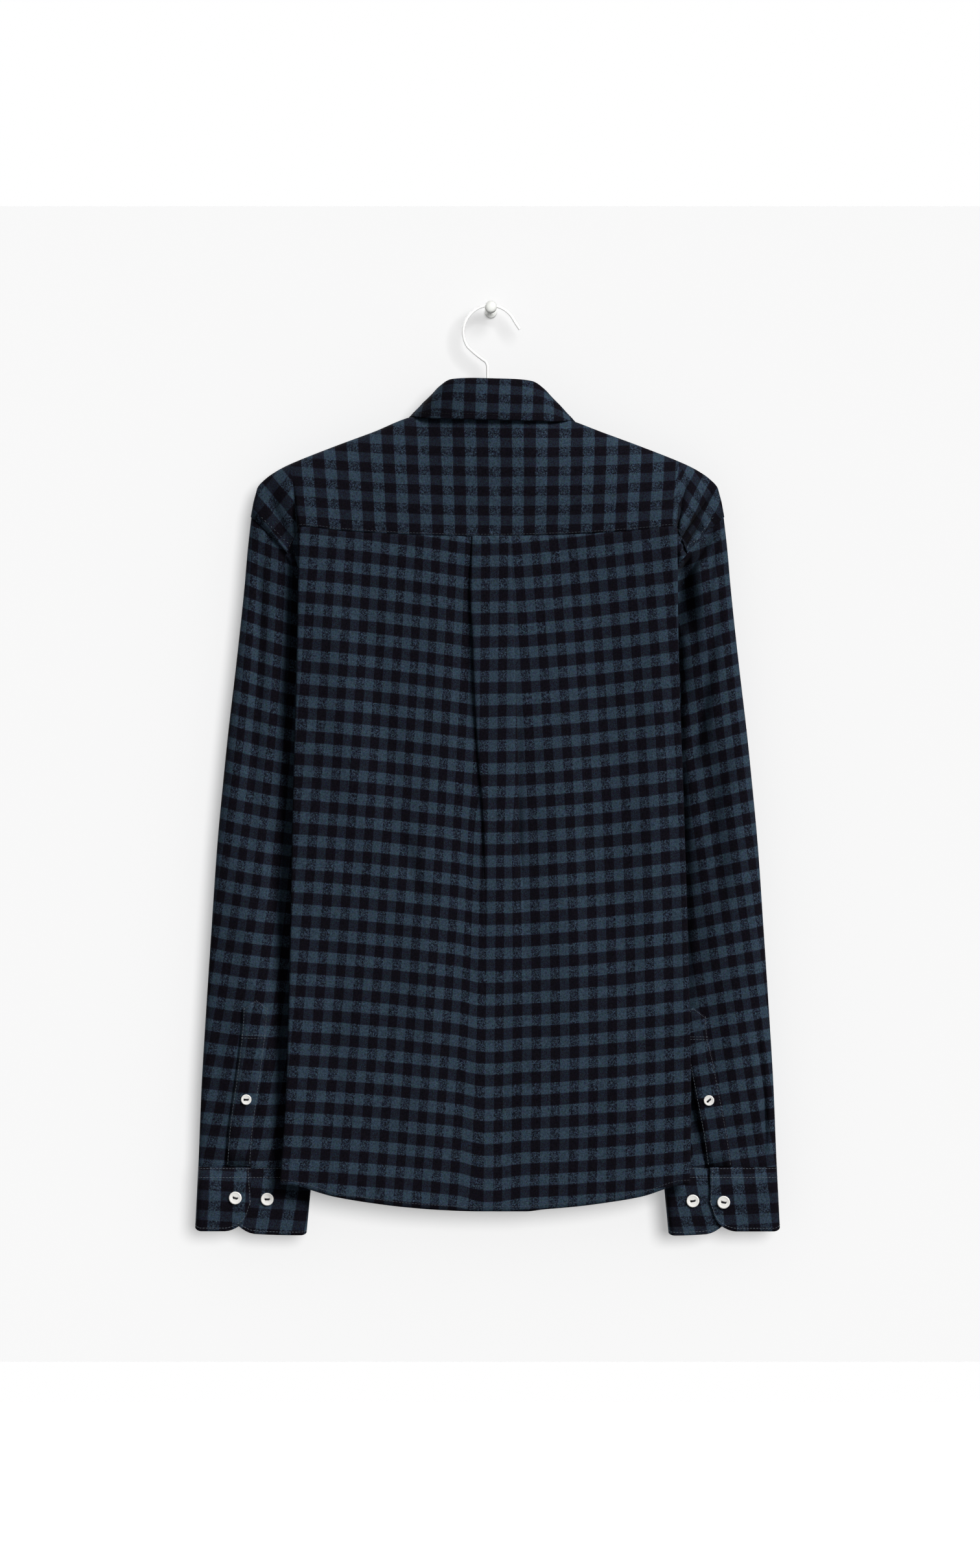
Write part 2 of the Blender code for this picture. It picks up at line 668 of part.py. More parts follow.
def sleeve_depth(across, z):
    """Half thickness of a sleeve at a place below the elbow."""
    row = float(np.interp(-z, -(SLEEVE["outer_z"] + SLEEVE["inner_z"]) / 2, SLEEVE["row"]))
    outer, inner = sleeve_edges(row)
    share = (outer[0] - abs(across)) / (outer[0] - inner[0])
    return read(SLEEVE, "row", "depth", row) * flat_oval(min(max(share, 0.0), 1.0))


def placket_strip(side):
    """The pointed strip on the sleeve's back face, a net of rows from its point to the cuff."""
    line = PLACKETS[side]
    top, bottom = line["below"][0], line["below"][-1]
    rows = []
    for down in PLACKET_ROWS:
        row = []
        for part in STRIP_PARTS:
            below = blend(top, bottom, down)
            below += PLACKET_POINT * abs(part) * max(1 - down / PLACKET_POINT_SHARE, 0.0)
            across = read(line, "below", "across", below) + part * PLACKET_HALF
            lift = sleeve_depth(across, -below) + WALL / 2 + GAP + PLACKET_LIFT + PLACKET_WALL / 2
            row.append((side * across, MID_Y - lift, -below))
        rows.append(row)
    return np.array(rows)


def cuff_hem(distance, corner, hem):
    """Height of a cuff's lower edge at a distance from an end with a rounded corner."""
    if distance >= corner:
        return hem
    return hem + corner - math.sqrt(corner**2 - (corner - distance) ** 2)


def cuff_net(side):
    """A cuff: one band that goes round the wrist and passes under its own end."""
    size = CUFFS[side]
    outer_top = read(SLEEVE_OUTLINE, "below", "across", -CUFF_TOP_Z) - CUFF_WALL / 2
    outer_hem = read(SLEEVE_OUTLINE, "below", "across", CUFF_HEM_BELOW) - CUFF_WALL / 2
    over = CUFF_DEPTH + CUFF_WALL + CUFF_END_GAP
    lap, under = size["lap"], size["lap"] + CUFF_UNDERLAP
    rows = []
    for down in CUFF_ROWS:
        outer = blend(outer_top, outer_hem, down)
        inner = blend(CUFF_INNER_TOP, CUFF_INNER_HEM, down) + CUFF_WALL / 2
        # Places from the end on top, round the wrist, to the end underneath: across, depth,
        # distance from an end, and share of the way from the hem on top to the one underneath.
        outline = (
            (lap, -over, 0.0, 0.0),
            (lap + 8, -over - 0.2, 8.0, 0.0),
            (lap + 24, -over - 0.4, 24.0, 0.0),
            (outer - 5, -over + 0.3, CUFF_FULL, 0.0),
            (outer - 1.2, -over * 0.72, CUFF_FULL, 0.05),
            (outer, 0.0, CUFF_FULL, 0.1),
            (outer - 5, CUFF_DEPTH, CUFF_FULL, 0.2),
            (inner + 5, CUFF_DEPTH, CUFF_FULL, 0.9),
            (inner, 0.0, CUFF_FULL, 1.0),
            (inner + 1.2, -CUFF_DEPTH * 0.7, CUFF_FULL, 1.0),
            (inner + 5, -CUFF_DEPTH, CUFF_FULL, 1.0),
            (under - 28, -CUFF_DEPTH - 0.4, 28.0, 1.0),
            (under - 8, -CUFF_DEPTH - 0.2, 8.0, 1.0),
            (under, -CUFF_DEPTH + 0.2, 0.0, 1.0),
        )
        line = []
        for across, depth, distance, share in outline:
            hem = blend(size["lap_hem"], size["under_hem"], share)
            corner = CUFF_UNDER_CORNER if share > 0.5 else CUFF_LAP_CORNER
            z = blend(CUFF_TOP_Z, cuff_hem(distance, corner, hem), down)
            bow = CUFF_BOW * math.sin(math.pi * down) * (1 if depth > 0 else -1)
            line.append((side * across, MID_Y + depth + bow, z))
        rows.append(through(line, CUFF_SPANS))
    return np.array(rows)


# ---------------------------------------------------------------- collar


def collar_station(side, row):
    """The band's lower edge and top, the leaf's edge and the way out, at one row of NECK."""
    face = NECK["face"][row]
    across, depth, z = neck_point(side, row)
    neck = np.array([across, MID_Y + face * depth, z])
    fold_x = COLLAR_X + side * NECK["fold_x"][row]
    tilt = COLLAR_TILT * side * np.array([NECK["fold_x"][row], NECK["edge_x"][row]]) * (face == BACK)
    fold_z = NECK["fold_z"][row] - tilt[0]
    fold = np.array([fold_x, MID_Y + face * NECK["fold_depth"][row], fold_z])
    edge_x = COLLAR_X + side * NECK["edge_x"][row]
    edge_z = NECK["edge_z"][row] - tilt[1]
    edge_depth = 0.0 if row == NECK_SIDE else body_depth(edge_x, edge_z) + LEAF_EDGE_LIFT
    edge = np.array([edge_x, MID_Y + face * edge_depth, edge_z])
    turn = math.radians(NECK["turn"][row])
    out = np.array([side * math.sin(turn), -math.cos(turn), 0.0])
    return neck, fold, edge, out


BAND_HALF_SPANS = (1, 1, 1, 1, 1, 1, 2, 2, 1, 1, 1)
LEAF_HALF_SPANS = (1, 1, 1, 2, 2, 2, 2, 2, 1)


def band_net():
    """The collar band, a loop whose left end laps over its right end at the front."""
    columns = []
    last = len(NECK["face"]) - 1
    band_depth = body_depth(COLLAR_X, CENTRE_FRONT_Z)
    for side, rows in ((RIGHT, range(last, 0, -1)), (LEFT, range(0, last + 1))):
        lap = LAP_STEP + BAND_LAP if side == LEFT else -LAP_STEP - BAND_LAP
        half = []
        for row in rows:
            neck, fold, _, _ = collar_station(side, row)
            if row >= last - 1:
                neck[1] += FRONT * lap
                fold[1] += FRONT * lap
            half.append((neck, fold))
        neck_y, fold_y = MID_Y + band_depth + lap, MID_Y + BAND_FRONT_DEPTH + lap
        tip_neck = np.array([COLLAR_X - side * BAND_TIP, neck_y, CENTRE_FRONT_Z + 1.5])
        tip_fold = np.array([COLLAR_X - side * BAND_TIP_TOP, fold_y, BAND_TIP_Z])
        middle = (
            np.array([COLLAR_X, neck_y, CENTRE_FRONT_Z]),
            np.array([COLLAR_X, fold_y, BAND_MIDDLE_Z]),
        )
        if side == RIGHT:
            half = [(tip_neck, tip_fold), middle, *half]
        else:
            half = [*half, middle, (tip_neck, tip_fold)]
        columns += half
    rows = []
    for share in BAND_ROWS:
        line = []
        for neck, fold in columns:
            rise = (fold - neck) / np.linalg.norm(fold - neck)
            line.append(blend(neck + rise * BAND_OVER_NECK, fold, share))
        rows.append(through(line, (*BAND_HALF_SPANS, *BAND_HALF_SPANS[::-1])))
    return np.array(rows)


def leaf_net():
    """The collar leaf, folded over the band from its top edge out and down to its own edge."""
    last = len(NECK["face"]) - 1
    stations = [collar_station(LEFT, row) for row in range(last, 0, -1)]
    stations += [collar_station(RIGHT, row) for row in range(0, last + 1)]
    rows = []
    for up, away, share in zip(*LEAF_ROLL.values()):
        line = []
        for neck, fold, edge, out in stations:
            rise = (fold - neck) / np.linalg.norm(fold - neck)
            line.append(blend(fold, edge, share) + rise * up + out * away)
        rows.append(through(line, (*LEAF_HALF_SPANS, *LEAF_HALF_SPANS[::-1])))
    return np.array(rows)


# ---------------------------------------------------------------- making objects


def material(name):
    colour, roughness, metallic = COLOURS[name]
    made = bpy.data.materials.get(name) or bpy.data.materials.new(name)
    made.use_nodes = True
    shader = made.node_tree.nodes["Principled BSDF"]
    shader.inputs["Base Color"].default_value = colour
    shader.inputs["Roughness"].default_value = roughness
    shader.inputs["Metallic"].default_value = metallic
    return made


def add_object(name, mesh, finish):
    obj = bpy.data.objects.new(name, mesh)
    obj.data.materials.append(material(finish))
    SHIRT.objects.link(obj)
    return obj


def in_room(points):
    """Points about the hanger's middle, in metres in the part's own frame."""
    return (np.asarray(points, float).reshape(-1, 3) + (HANGER_X, 0.0, 0.0)) * MM


def net_faces(shape, bmesh_out, points, closed):
    """Adds a net of rows and columns to a bmesh, each mesh cut along its shorter diagonal."""
    rows, columns = shape
    corners = [bmesh_out.verts.new(p) for p in in_room(points)]
    for i in range(rows - 1):
        for j in range(columns if closed else columns - 1):
            first, second = i * columns + j, i * columns + (j + 1) % columns
            a, b = corners[first], corners[second]
            c, d = corners[second + columns], corners[first + columns]
            if (a.co - c.co).length < (b.co - d.co).length - 1e-6:
                bmesh_out.faces.new((a, b, c))
                bmesh_out.faces.new((a, c, d))
            else:
                bmesh_out.faces.new((a, b, d))
                bmesh_out.faces.new((b, c, d))


def cloth(name, nets, wall, closed=False):
    """A cloth wall from one or more nets that share their edges."""
    work = bmesh.new()
    for net in nets:
        net_faces(net.shape[:2], work, net, closed)
    bmesh.ops.remove_doubles(work, verts=work.verts, dist=1e-5)
    bmesh.ops.recalc_face_normals(work, faces=work.faces)
    mesh = bpy.data.meshes.new(name)
    work.to_mesh(mesh)
    work.free()
    mesh.shade_smooth()
    obj = add_object(name, mesh, "flannel")
    thick = obj.modifiers.new("wall", "SOLIDIFY")
    thick.thickness = wall * MM
    thick.offset = 0.0
    return obj


def turned(name, profile, axis, sides, finish):
    """A profile of radius and height turned about a local axis."""
    work = bmesh.new()
    along = {"Y": lambda r, h: (r, h, 0.0), "Z": lambda r, h: (r, 0.0, h)}[axis]
    corners = [work.verts.new([v * MM for v in along(r, h)]) for r, h in profile]
    for a, b in zip(corners, corners[1:]):
        work.edges.new((a, b))
    mesh = bpy.data.meshes.new(name)
    work.to_mesh(mesh)
    work.free()
    obj = add_object(name, mesh, finish)
    screw = obj.modifiers.new("turn", "SCREW")
    screw.axis = axis
    screw.steps = screw.render_steps = sides
    screw.use_merge_vertices = True
    screw.merge_threshold = 1e-5
    screw.use_normal_calculate = True
    return obj


def wire_mesh(name, points, radius, ring):
    """A bent wire or tube as a closed mesh."""
    curve = bpy.data.curves.new(name, "CURVE")
    curve.dimensions = "3D"
    curve.bevel_depth = radius * MM
    curve.bevel_resolution = ring
    curve.use_fill_caps = True
    spline = curve.splines.new("POLY")
    spline.points.add(len(points) - 1)
    for spot, place in zip(spline.points, in_room(points)):
        spot.co = (*place, 1.0)
    guide = bpy.data.objects.new(name + "_line", curve)
    bpy.context.scene.collection.objects.link(guide)
    graph = bpy.context.evaluated_depsgraph_get()
    mesh = bpy.data.meshes.new_from_object(guide.evaluated_get(graph))
    bpy.data.objects.remove(guide)
    work = bmesh.new()
    work.from_mesh(mesh)
    bmesh.ops.remove_doubles(work, verts=work.verts, dist=1e-6)
    bmesh.ops.recalc_face_normals(work, faces=work.faces)
    work.to_mesh(mesh)
    work.free()
    return mesh


# ---------------------------------------------------------------- the parts


BACK_ROWS = (0.0, 0.03, 0.07, 0.12, 0.17, 0.23, 0.29, 0.35, 0.41, 0.46, 0.51, 0.56, 0.63, 0.71, 0.8, 0.9, 1.0)
FRONT_ROWS = (0.0, 0.03, 0.07, 0.12, 0.17, 0.23, 0.29, 0.4, 0.52, 0.64, 0.76, 0.88, 1.0)
YOKE_ROWS = (0.0, 0.02, 0.06, 0.14, 0.27, 0.44, 0.62, 0.8, 0.93, 1.0)
YOKE_FRONT_ROWS = (0.0, 0.05, 0.16, 0.38, 0.68, 1.0)
SLEEVE_ROWS = (0.0, 0.5, 1.0, 1.5, 2.0, 2.5, 3.0, 3.5, 4.0, 4.6, 5.2, 6.0, 7.0, 8.0, 9.0)
SLEEVE_AROUND = 24
SEAM = 0.22  # what each of two joined pieces stops short of their seam
PANEL_LENGTH = 620.0  # the rounded length of a back or front, to turn SEAM into a share
YOKE_BACK_LENGTH, YOKE_BACK_SHORT = 110.0, 1.21  # the yoke's back, and what it stops short
YOKE_FRONT_LENGTH, YOKE_FRONT_SHORT = 40.0, 0.66


def trimmed(rows):
    """Row positions of a back or front, from just short of its top seam."""
    return (SEAM / PANEL_LENGTH, *rows[1:])


def build_body():
    back = np.array([back_row(v) for v in trimmed(BACK_ROWS)])
    cloth("back", [back], WALL)
    yoke_rows = list(YOKE_ROWS)
    yoke_rows[-1] -= YOKE_BACK_SHORT / YOKE_BACK_LENGTH
    nets = [np.array([yoke_back_row(t) for t in yoke_rows])]
    front_rows = list(YOKE_FRONT_ROWS)
    front_rows[-1] -= YOKE_FRONT_SHORT / YOKE_FRONT_LENGTH
    nets += [np.array([yoke_front_row(side, t) for t in front_rows]) for side in (LEFT, RIGHT)]
    cloth("yoke", nets, WALL)
    for side, name in ((LEFT, "front_left"), (RIGHT, "front_right")):
        rows = [through(front_points(side, v), FRONT_SPANS) for v in trimmed(FRONT_ROWS)]
        cloth(name, [np.array(rows)], WALL)


def front_placket_net():
    """The strip on the left front's edge, made from that front's own surface."""
    rows = []
    for v in FRONT_PLACKET_ROWS:
        row = []
        for part in STRIP_PARTS:
            across = COLLAR_X + part * FRONT_PLACKET_HALF
            top = blend(CENTRE_FRONT_Z, OVERLAP_Z, abs(part)) - FRONT_PLACKET_TOP_GAP
            z = blend(top, FRONT_PLACKET_HEM_Z, v)
            depth = body_depth(across, z) + LAP_STEP + WALL / 2 + GAP + PLACKET_WALL / 2
            row.append((across, MID_Y + depth, z))
        rows.append(row)
    return np.array(rows)


def build_sleeves():
    for side, name in ((LEFT, "left"), (RIGHT, "right")):
        rings = [sleeve_ring(side, row, SLEEVE_AROUND) for row in SLEEVE_ROWS]
        cloth("sleeve_" + name, [np.array(rings)], WALL, closed=True)
        cloth("sleeve_placket_" + name, [placket_strip(side)], PLACKET_WALL)
        cloth("cuff_" + name, [cuff_net(side)], CUFF_WALL)


def add_button(name, radius, across, depth, z, face):
    """A button that lies on the cloth at a depth from MID_Y, and faces out."""
    profile = [(r * radius, h * radius) for r, h in BUTTON_PROFILE]
    obj = turned(name, profile, "Z", BUTTON_SIDES, "button")
    obj.rotation_euler = (math.radians(90 if face == BACK else -90), 0.0, 0.0)
    obj.location = in_room((across, MID_Y + face * depth, z))[0]
    return obj


def build_buttons():
    for side, name in ((LEFT, "left"), (RIGHT, "right")):
        top, under = CUFF_BUTTONS[side]
        over_depth = CUFF_DEPTH + CUFF_WALL * 1.5 + CUFF_END_GAP + BUTTON_GAP
        under_depth = CUFF_DEPTH + CUFF_WALL / 2 + BUTTON_GAP
        label = "button_cuff_" + name
        add_button(label + "_1", CUFF_BUTTON_RADIUS, side * top[0], over_depth, top[1], BACK)
        add_button(label + "_2", CUFF_BUTTON_RADIUS, side * under[0], under_depth, under[1], BACK)
        across, z = PLACKET_BUTTONS[side]
        strip_depth = sleeve_depth(across, z) + WALL / 2 + GAP + PLACKET_LIFT + PLACKET_WALL
        depth = strip_depth + GAP + PLACKET_BUTTON_GAP
        add_button("button_sleeve_" + name, SMALL_BUTTON_RADIUS, side * across, depth, z, BACK)
    for count, z in enumerate(FRONT_BUTTONS_Z, 1):
        depth = body_depth(COLLAR_X, z) + LAP_STEP + WALL / 2 + GAP + PLACKET_WALL + GAP
        add_button(f"button_front_{count}", FRONT_BUTTON_RADIUS, COLLAR_X, depth, z, FRONT)
    depth = body_depth(COLLAR_X, COLLAR_BUTTON_Z) + LAP_STEP + BAND_WALL / 2 + GAP
    add_button("button_collar", FRONT_BUTTON_RADIUS, COLLAR_X, depth, COLLAR_BUTTON_Z, FRONT)


def arm_points():
    """The hanger's arms, a tube under the shoulder line from end to end."""
    reach = np.linspace(0.0, ARM_END, 17)
    half = []
    for across in reach:
        slope = (shoulder_z(across + 0.5) - shoulder_z(across - 0.5)) if across > 1 else -0.36
        normal = np.array([-slope, 1.0]) / math.hypot(slope, 1.0)
        offset = WALL / 2 + ARM_CLEARANCE + ARM_RADIUS
        drop = ARM_NECK_DROP * max(1 - (across / 110.0) ** 2, 0.0)
        x, z = np.array([across, shoulder_z(across) - drop]) - normal * offset
        half.append((x, MID_Y, min(z, HANGER_TOP_Z)))
    half = half[1:]
    middle = [(0.0, MID_Y, half[0][2] + 0.6)]
    return [(-x, y, z) for x, y, z in reversed(half)] + middle + half


def hook_points():
    """The hook's wire from its tip, over the peg and down the shank."""
    turns = np.radians(np.linspace(HOOK_START, HOOK_END, 22))
    ring = [HOOK_CENTRE + HOOK_RADIUS * np.array([math.cos(a), math.sin(a)]) for a in turns]
    neck = through([ring[-1], *HOOK_NECK], [1, 2, 2, 2, 1, 1])[1:]
    line = [*HOOK_TIP, *ring, *neck]
    return [(x, MID_Y, z) for x, z in line]


def build_hanger():
    arms = add_object("hanger", wire_mesh("hanger", arm_points(), ARM_RADIUS, 3), "painted metal")
    hook = bpy.data.objects.new("hook_cutter", wire_mesh("hook", hook_points(), WIRE_RADIUS, 2))
    HELPERS.objects.link(hook)
    hook.hide_render = True
    hook.display_type = "WIRE"
    join = arms.modifiers.new("hook", "BOOLEAN")
    join.operation = "UNION"
    join.object = hook


def build_peg():
    turned("peg", PEG_PROFILE, "Y", PEG_SIDES, "turned peg")


def clear_scene():
    for obj in list(bpy.data.objects):
        bpy.data.objects.remove(obj)


def new_collection(name):
    made = bpy.data.collections.new(name)
    bpy.context.scene.collection.children.link(made)
    return made


clear_scene()
SLEEVE["row"] = np.arange(len(SLEEVE["outer_z"]), dtype=float)
SHIRT = new_collection("flannel shirt")
HELPERS = new_collection("helpers")
build_body()
cloth("front_placket", [front_placket_net()], PLACKET_WALL)
cloth("collar_band", [band_net()], BAND_WALL)
cloth("collar_leaf", [leaf_net()], BAND_WALL)
build_sleeves()
build_buttons()
build_hanger()
build_peg()
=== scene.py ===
"""The look of the long-sleeved flannel shirt on its hanger and peg.

The cloth is worked out from the same sizes as the part, on a finer grid, and each panel
carries the count of gingham checks across and down in a UV map, which its cloth follows.
Sizes are in millimetres about the hanger's middle, and MM turns them into metres.
A face is BACK (-1, away from the wall) or FRONT (+1, towards the wall).
"""

import math

import bmesh
import bpy
import numpy as np
from mathutils import Matrix, Vector, noise


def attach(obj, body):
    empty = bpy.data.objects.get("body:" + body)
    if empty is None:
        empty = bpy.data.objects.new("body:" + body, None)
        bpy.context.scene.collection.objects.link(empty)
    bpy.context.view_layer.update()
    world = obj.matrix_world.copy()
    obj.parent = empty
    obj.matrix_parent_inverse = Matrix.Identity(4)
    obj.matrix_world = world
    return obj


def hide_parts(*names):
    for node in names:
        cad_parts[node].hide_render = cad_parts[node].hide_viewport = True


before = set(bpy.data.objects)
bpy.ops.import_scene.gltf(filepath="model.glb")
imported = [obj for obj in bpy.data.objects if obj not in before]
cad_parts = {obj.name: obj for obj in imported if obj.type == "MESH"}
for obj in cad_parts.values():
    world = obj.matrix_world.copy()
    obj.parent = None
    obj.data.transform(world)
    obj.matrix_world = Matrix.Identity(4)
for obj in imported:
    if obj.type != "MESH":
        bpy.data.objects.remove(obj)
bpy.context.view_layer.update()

MM = 0.001
BACK, FRONT = -1, 1
LEFT, RIGHT = -1, 1
SIDES = {LEFT: "left", RIGHT: "right"}

# Where things hang
HANGER_X = -3.0  # the hanger's middle, to the left of the peg
MID_Y = -34.0  # the plane of the hanger, which halves the shirt's depth
COLLAR_X = 4.0  # collar and front edge, from the hanger's middle
PLEAT_X = 4.0  # box pleat, from the hanger's middle

# Cloth
WALL = 1.2  # one layer of brushed flannel
BAND_WALL = 1.8  # collar band and leaf, two layers with interlining
CUFF_WALL = 2.2
PLACKET_WALL = 1.4
GAP = 0.3  # between pieces where they are sewn

# Body
HALF_DEPTH = 25.0  # from MID_Y to the back, and to the front
ROUNDING = 90.0  # depth is full this far below the shoulder line
SWELL, SWELL_WIDTH = 1.5, 420.0  # the panels stand out a little more in their middle
YOKE_TOP_Z = -101.0
YOKE_SEAM_Z = -212.4  # at the centre back
YOKE_SEAM_RISE = 9.0  # from the centre to the side fold
BACK_HEM_Z = -838.4
FRONT_HEM_Z = -826.0
HEM_RISE = 24.8  # from the centre to the side fold
SIDE_SEAM_HEM_Z = -796.0
HALF_BACK = 174.5  # centre back to the side fold, at the yoke seam

# Armhole seam, as distance across and height
SHOULDER_POINT = np.array([220.0, -194.0])
UNDERARM = np.array([105.0, -396.0])
SIDE_SEAM_END = np.array([132.0, SIDE_SEAM_HEM_Z])
ARMHOLE_BULGE = 20.0  # towards the body, from the straight line between the two
ARMHOLE_DEPTH = 14.0
ARMHOLE_ROUND = 0.4  # how square the flattened armhole and sleeve are
YOKE_BACK_END = 0.20  # share of the armhole, from the shoulder, that the yoke takes
YOKE_FRONT_END = 0.15
UNDERARM_ROW = 0.29  # share of the back's and front's height that is above the underarm
LAP = 1.6  # the sleeve starts this far inside the armhole edge
LAP_DROP = 0.45  # and this share of that below it
SIDE_SEAM_HALF_GAP = 0.35

# The sides that fold back
LEAF_DEPTH_TOP, LEAF_DEPTH = 13.0, 17.0  # depth of what turns back, at the top and lower down
LEAF_DEEPENS = 0.12  # share of the panel's height over which it gets that deep
LEAF_MOST, CORNER_LEAST = 0.78, 0.75  # limits, as shares of the full depth and of the leaf's
CORNER_OPENS = 0.1  # share of the panel's height over which the corner opens by 1 mm
NEAR_SEAM, ON_LEAF, BEHIND_FOLD = 0.96, 0.72, 0.02  # places, as shares of the way to the seam
BEHIND_FOLD_DEPTH = 0.80
FOLD_INSIDE = (0.0, 0.9, 3.5)  # places inside the fold's edge
FOLD_DEPTHS = (0.93, 0.985, 1.0)  # and how deep they are, as shares of the full depth

# Neck
NECK_HALF = 69.0
NECK_LIFT = 50.0  # how much the hollow of the neck holds the cloth near it apart


def table(names, *rows):
    """Named columns from rows of numbers."""
    return dict(zip(names.split(), np.array(rows, float).T))


# Height of the shoulder line at a distance across
SHOULDER = table(
    "across height",
    (0, -76.4), (70, -101.6), (94.8, -110.5), (127.9, -122.6), (159.7, -134.7), (188.3, -146.7),
    (199.1, -152.8), (207.1, -158.8), (212.7, -164.9), (216.3, -170.9), (218.2, -176.9), (219.2, -184),
    (220.2, -195),
)

# The edges where the body's sides fold back, by depth below the origin
SIDE_FOLD = table(
    "below left right",
    (200, 174, 175), (317, 176, 176.5), (470, 180, 181.5), (620, 183, 186), (725, 186, 188),
    (815, 192, 187),
)

# How far the pleat's edges are folded under, and the pitch of its three layers
PLEAT_HALF = 17.0
PLEAT = table(
    "below under pitch",
    (200, 14.5, 1.7), (300, 13, 1.7), (380, 8, 1.7), (440, 3, 1.7), (480, 0, 1.7), (520, -2.5, 1.6),
    (560, -4, 1.1), (640, -4, 0), (900, -4, 0),
)
PLEAT_TURN = 0.85
PLEAT_SPREAD = 1.5
PLEAT_REACH = 8.0  # the layers are worked out this far to either side of a fold

# Where the pleat's edges lie across, and how far the cloth outside them is sunk
PLEAT_EDGES = table(
    "below left right sunk_left sunk_right",
    (200, -12.7, 20, -2, -2.4), (225, -13.6, 20.6, -1.2, -2.4), (262, -15.1, 22, 0.6, -2.3),
    (305, -12.9, 23.4, 1.9, -2.2), (345, -11.5, 24.6, 2.2, -2.2), (385, -9.6, 26, 1.6, -2.2),
    (415, -7.6, 27, 0.6, -2), (490, -2.5, 28, 0.2, -1), (560, -1.5, 28, 0, 0),
)

# Places across at which the rows of the back and the yoke are worked out
OUTER_COLUMNS = (142.0, 107.0)
INNER_COLUMNS = (76.0, 47.0)
YOKE_OUTER = ((148.0, 142.0), (108.0, 107.0))  # at the shoulder, and at the seam
SHOULDER_ACROSS = (214.0, 206.0, 197.0, 190.0, 186.0, 182.0)

# Neckline and collar, from the centre back to the centre front, for one half.
# neck: lower edge of the band. fold: top of the band. edge: outer edge of the leaf.
# turn: the way out of the loop, in degrees from straight back.
NECK = table(
    "face neck_x neck_z fold_x fold_z fold_depth edge_x edge_z turn",
    (BACK, 0, -101, 0, -71, 23, 0, -105.5, 0),
    (BACK, 22, -101, 20, -71, 22, 30, -105.3, 6),
    (BACK, 44, -101.3, 36.5, -72, 18, 55, -104.8, 25),
    (BACK, 60, -101.6, 47, -77.5, 11, 67, -103.4, 50),
    (FRONT, 69, -101.8, 52.5, -85, 0, 74.5, -102.3, 90),
    (FRONT, 68.5, -114, 54, -94, 10, 82.5, -118, 130),
    (FRONT, 66, -128, 51, -103, 16.5, 84, -146, 160),
    (FRONT, 52, -150, 40, -124, 19.5, 76, -174, 172),
    (FRONT, 34, -170, 26, -141, 21.5, 65, -197, 178),
    (FRONT, 16, -183, 11, -153, 22.5, 52, -213, 180),
)
NECK_SIDE = 4  # row of NECK where the shoulder line meets the neck
NECK_CORNER = 6  # row of NECK where yoke and front meet at the neck
NECK_END = 9  # the last row of NECK
YOKE_INNER = ((NECK_SIDE, 76.0), (3, 64.0), (2, 47.0), (1, 24.0))  # row of NECK, and at the seam
FRONT_TOPS = ((140.0, -167.0), (106.0, -150.0))  # places on the yoke's front seam
FRONT_FOLD_TOP_Z = -186.0
FRONT_LAPS = ((7, 0.0), (8, 0.6), (9, 1.0))  # row of NECK, and share of the lapped edge's step
CENTRE_FRONT_Z = -188.0
OVERLAP_Z = -185.0  # the neckline at the front's lapped edge
OVERLAP = 16.0  # each front passes the centre by this
LAP_STEP = 0.9  # lapped fronts lie this far to either side of their shared plane

BAND_OVER_NECK = 1.3  # from the neckline to the band's lower edge
BAND_LAP = 0.4  # beyond the fronts' own step, where one end of the band laps over the other
BAND_TIP, BAND_TIP_TOP = 12.0, 10.0  # from the centre front to the band's end, below and above
BAND_TIP_Z, BAND_MIDDLE_Z = -166.0, -158.5  # its top there, and at the centre front
BAND_TIP_RISE = 1.5  # its lower edge there, above the neckline
BAND_FRONT_DEPTH = 23.2
COLLAR_TILT = 0.025  # the collar hangs a little lower on the right
LEAF_LIFT = BAND_WALL / 2 + GAP + 0.8
LEAF_EDGE_LIFT = 2.2  # the leaf's edge stands off the cloth under it

# The leaf's rows: up along the band from its top, away from it, further away where it faces
# back or front, and share of the way to the edge
LEAF_ROLL = table(
    "up away flare share",
    (LEAF_LIFT + 0.1, 0, 0, 0), (LEAF_LIFT + 1.3, 0.8, 0, 0), (LEAF_LIFT + 1.5, 2.5, 0, 0),
    (LEAF_LIFT + 0.3, 3.9, 0, 0.02), (-0.6, 4.4, 0, 0.10), (0, 4.6, 0, 0.35),
    (0, 2.9, 1.2, 0.68), (0, 0.36, 2.25, 0.96), (0, 0, 2.4, 1),
)

# Sleeve rings: height of the outer edge, then the inner edge, half the thickness of the
# flattened tube, how much the ring bulges towards the body and share of the lap.
SLEEVE = table(
    "row outer_z inner_x inner_z depth bulge inset",
    (0, -194, 105, -396, 14, 18.5, 1), (1, -212, 108.5, -408, 12.7, 15, 0.2),
    (2, -240, 112.5, -425, 12.2, 10, 0), (3, -290, 118, -450, 12, 5, 0),
    (4, -360, 125, -490, 12, 1, 0), (5, -450, 134, -545, 12, 0, 0),
    (6, -540, 142, -600, 12, 0, 0), (7, -640, 150, -665, 11.5, 0, 0),
    (8, -730, 157, -738, 11, 0, 0), (9, -798, 162.5, -798, 10, 0, 0),
)

# The sleeve's outer edge, by depth below the origin
SLEEVE_OUTLINE = table(
    "below across",
    (190, 219.6), (228, 223.7), (255, 226), (328, 233.7), (400, 242.1), (436.5, 245.8), (497, 251.5),
    (581, 257.3), (654, 262.1), (726, 266.4), (798.6, 269.4), (829, 271.3), (847, 272.3), (862, 272),
)

TROUGH_TAPER = 0.7  # how bluntly the sleeves' troughs end
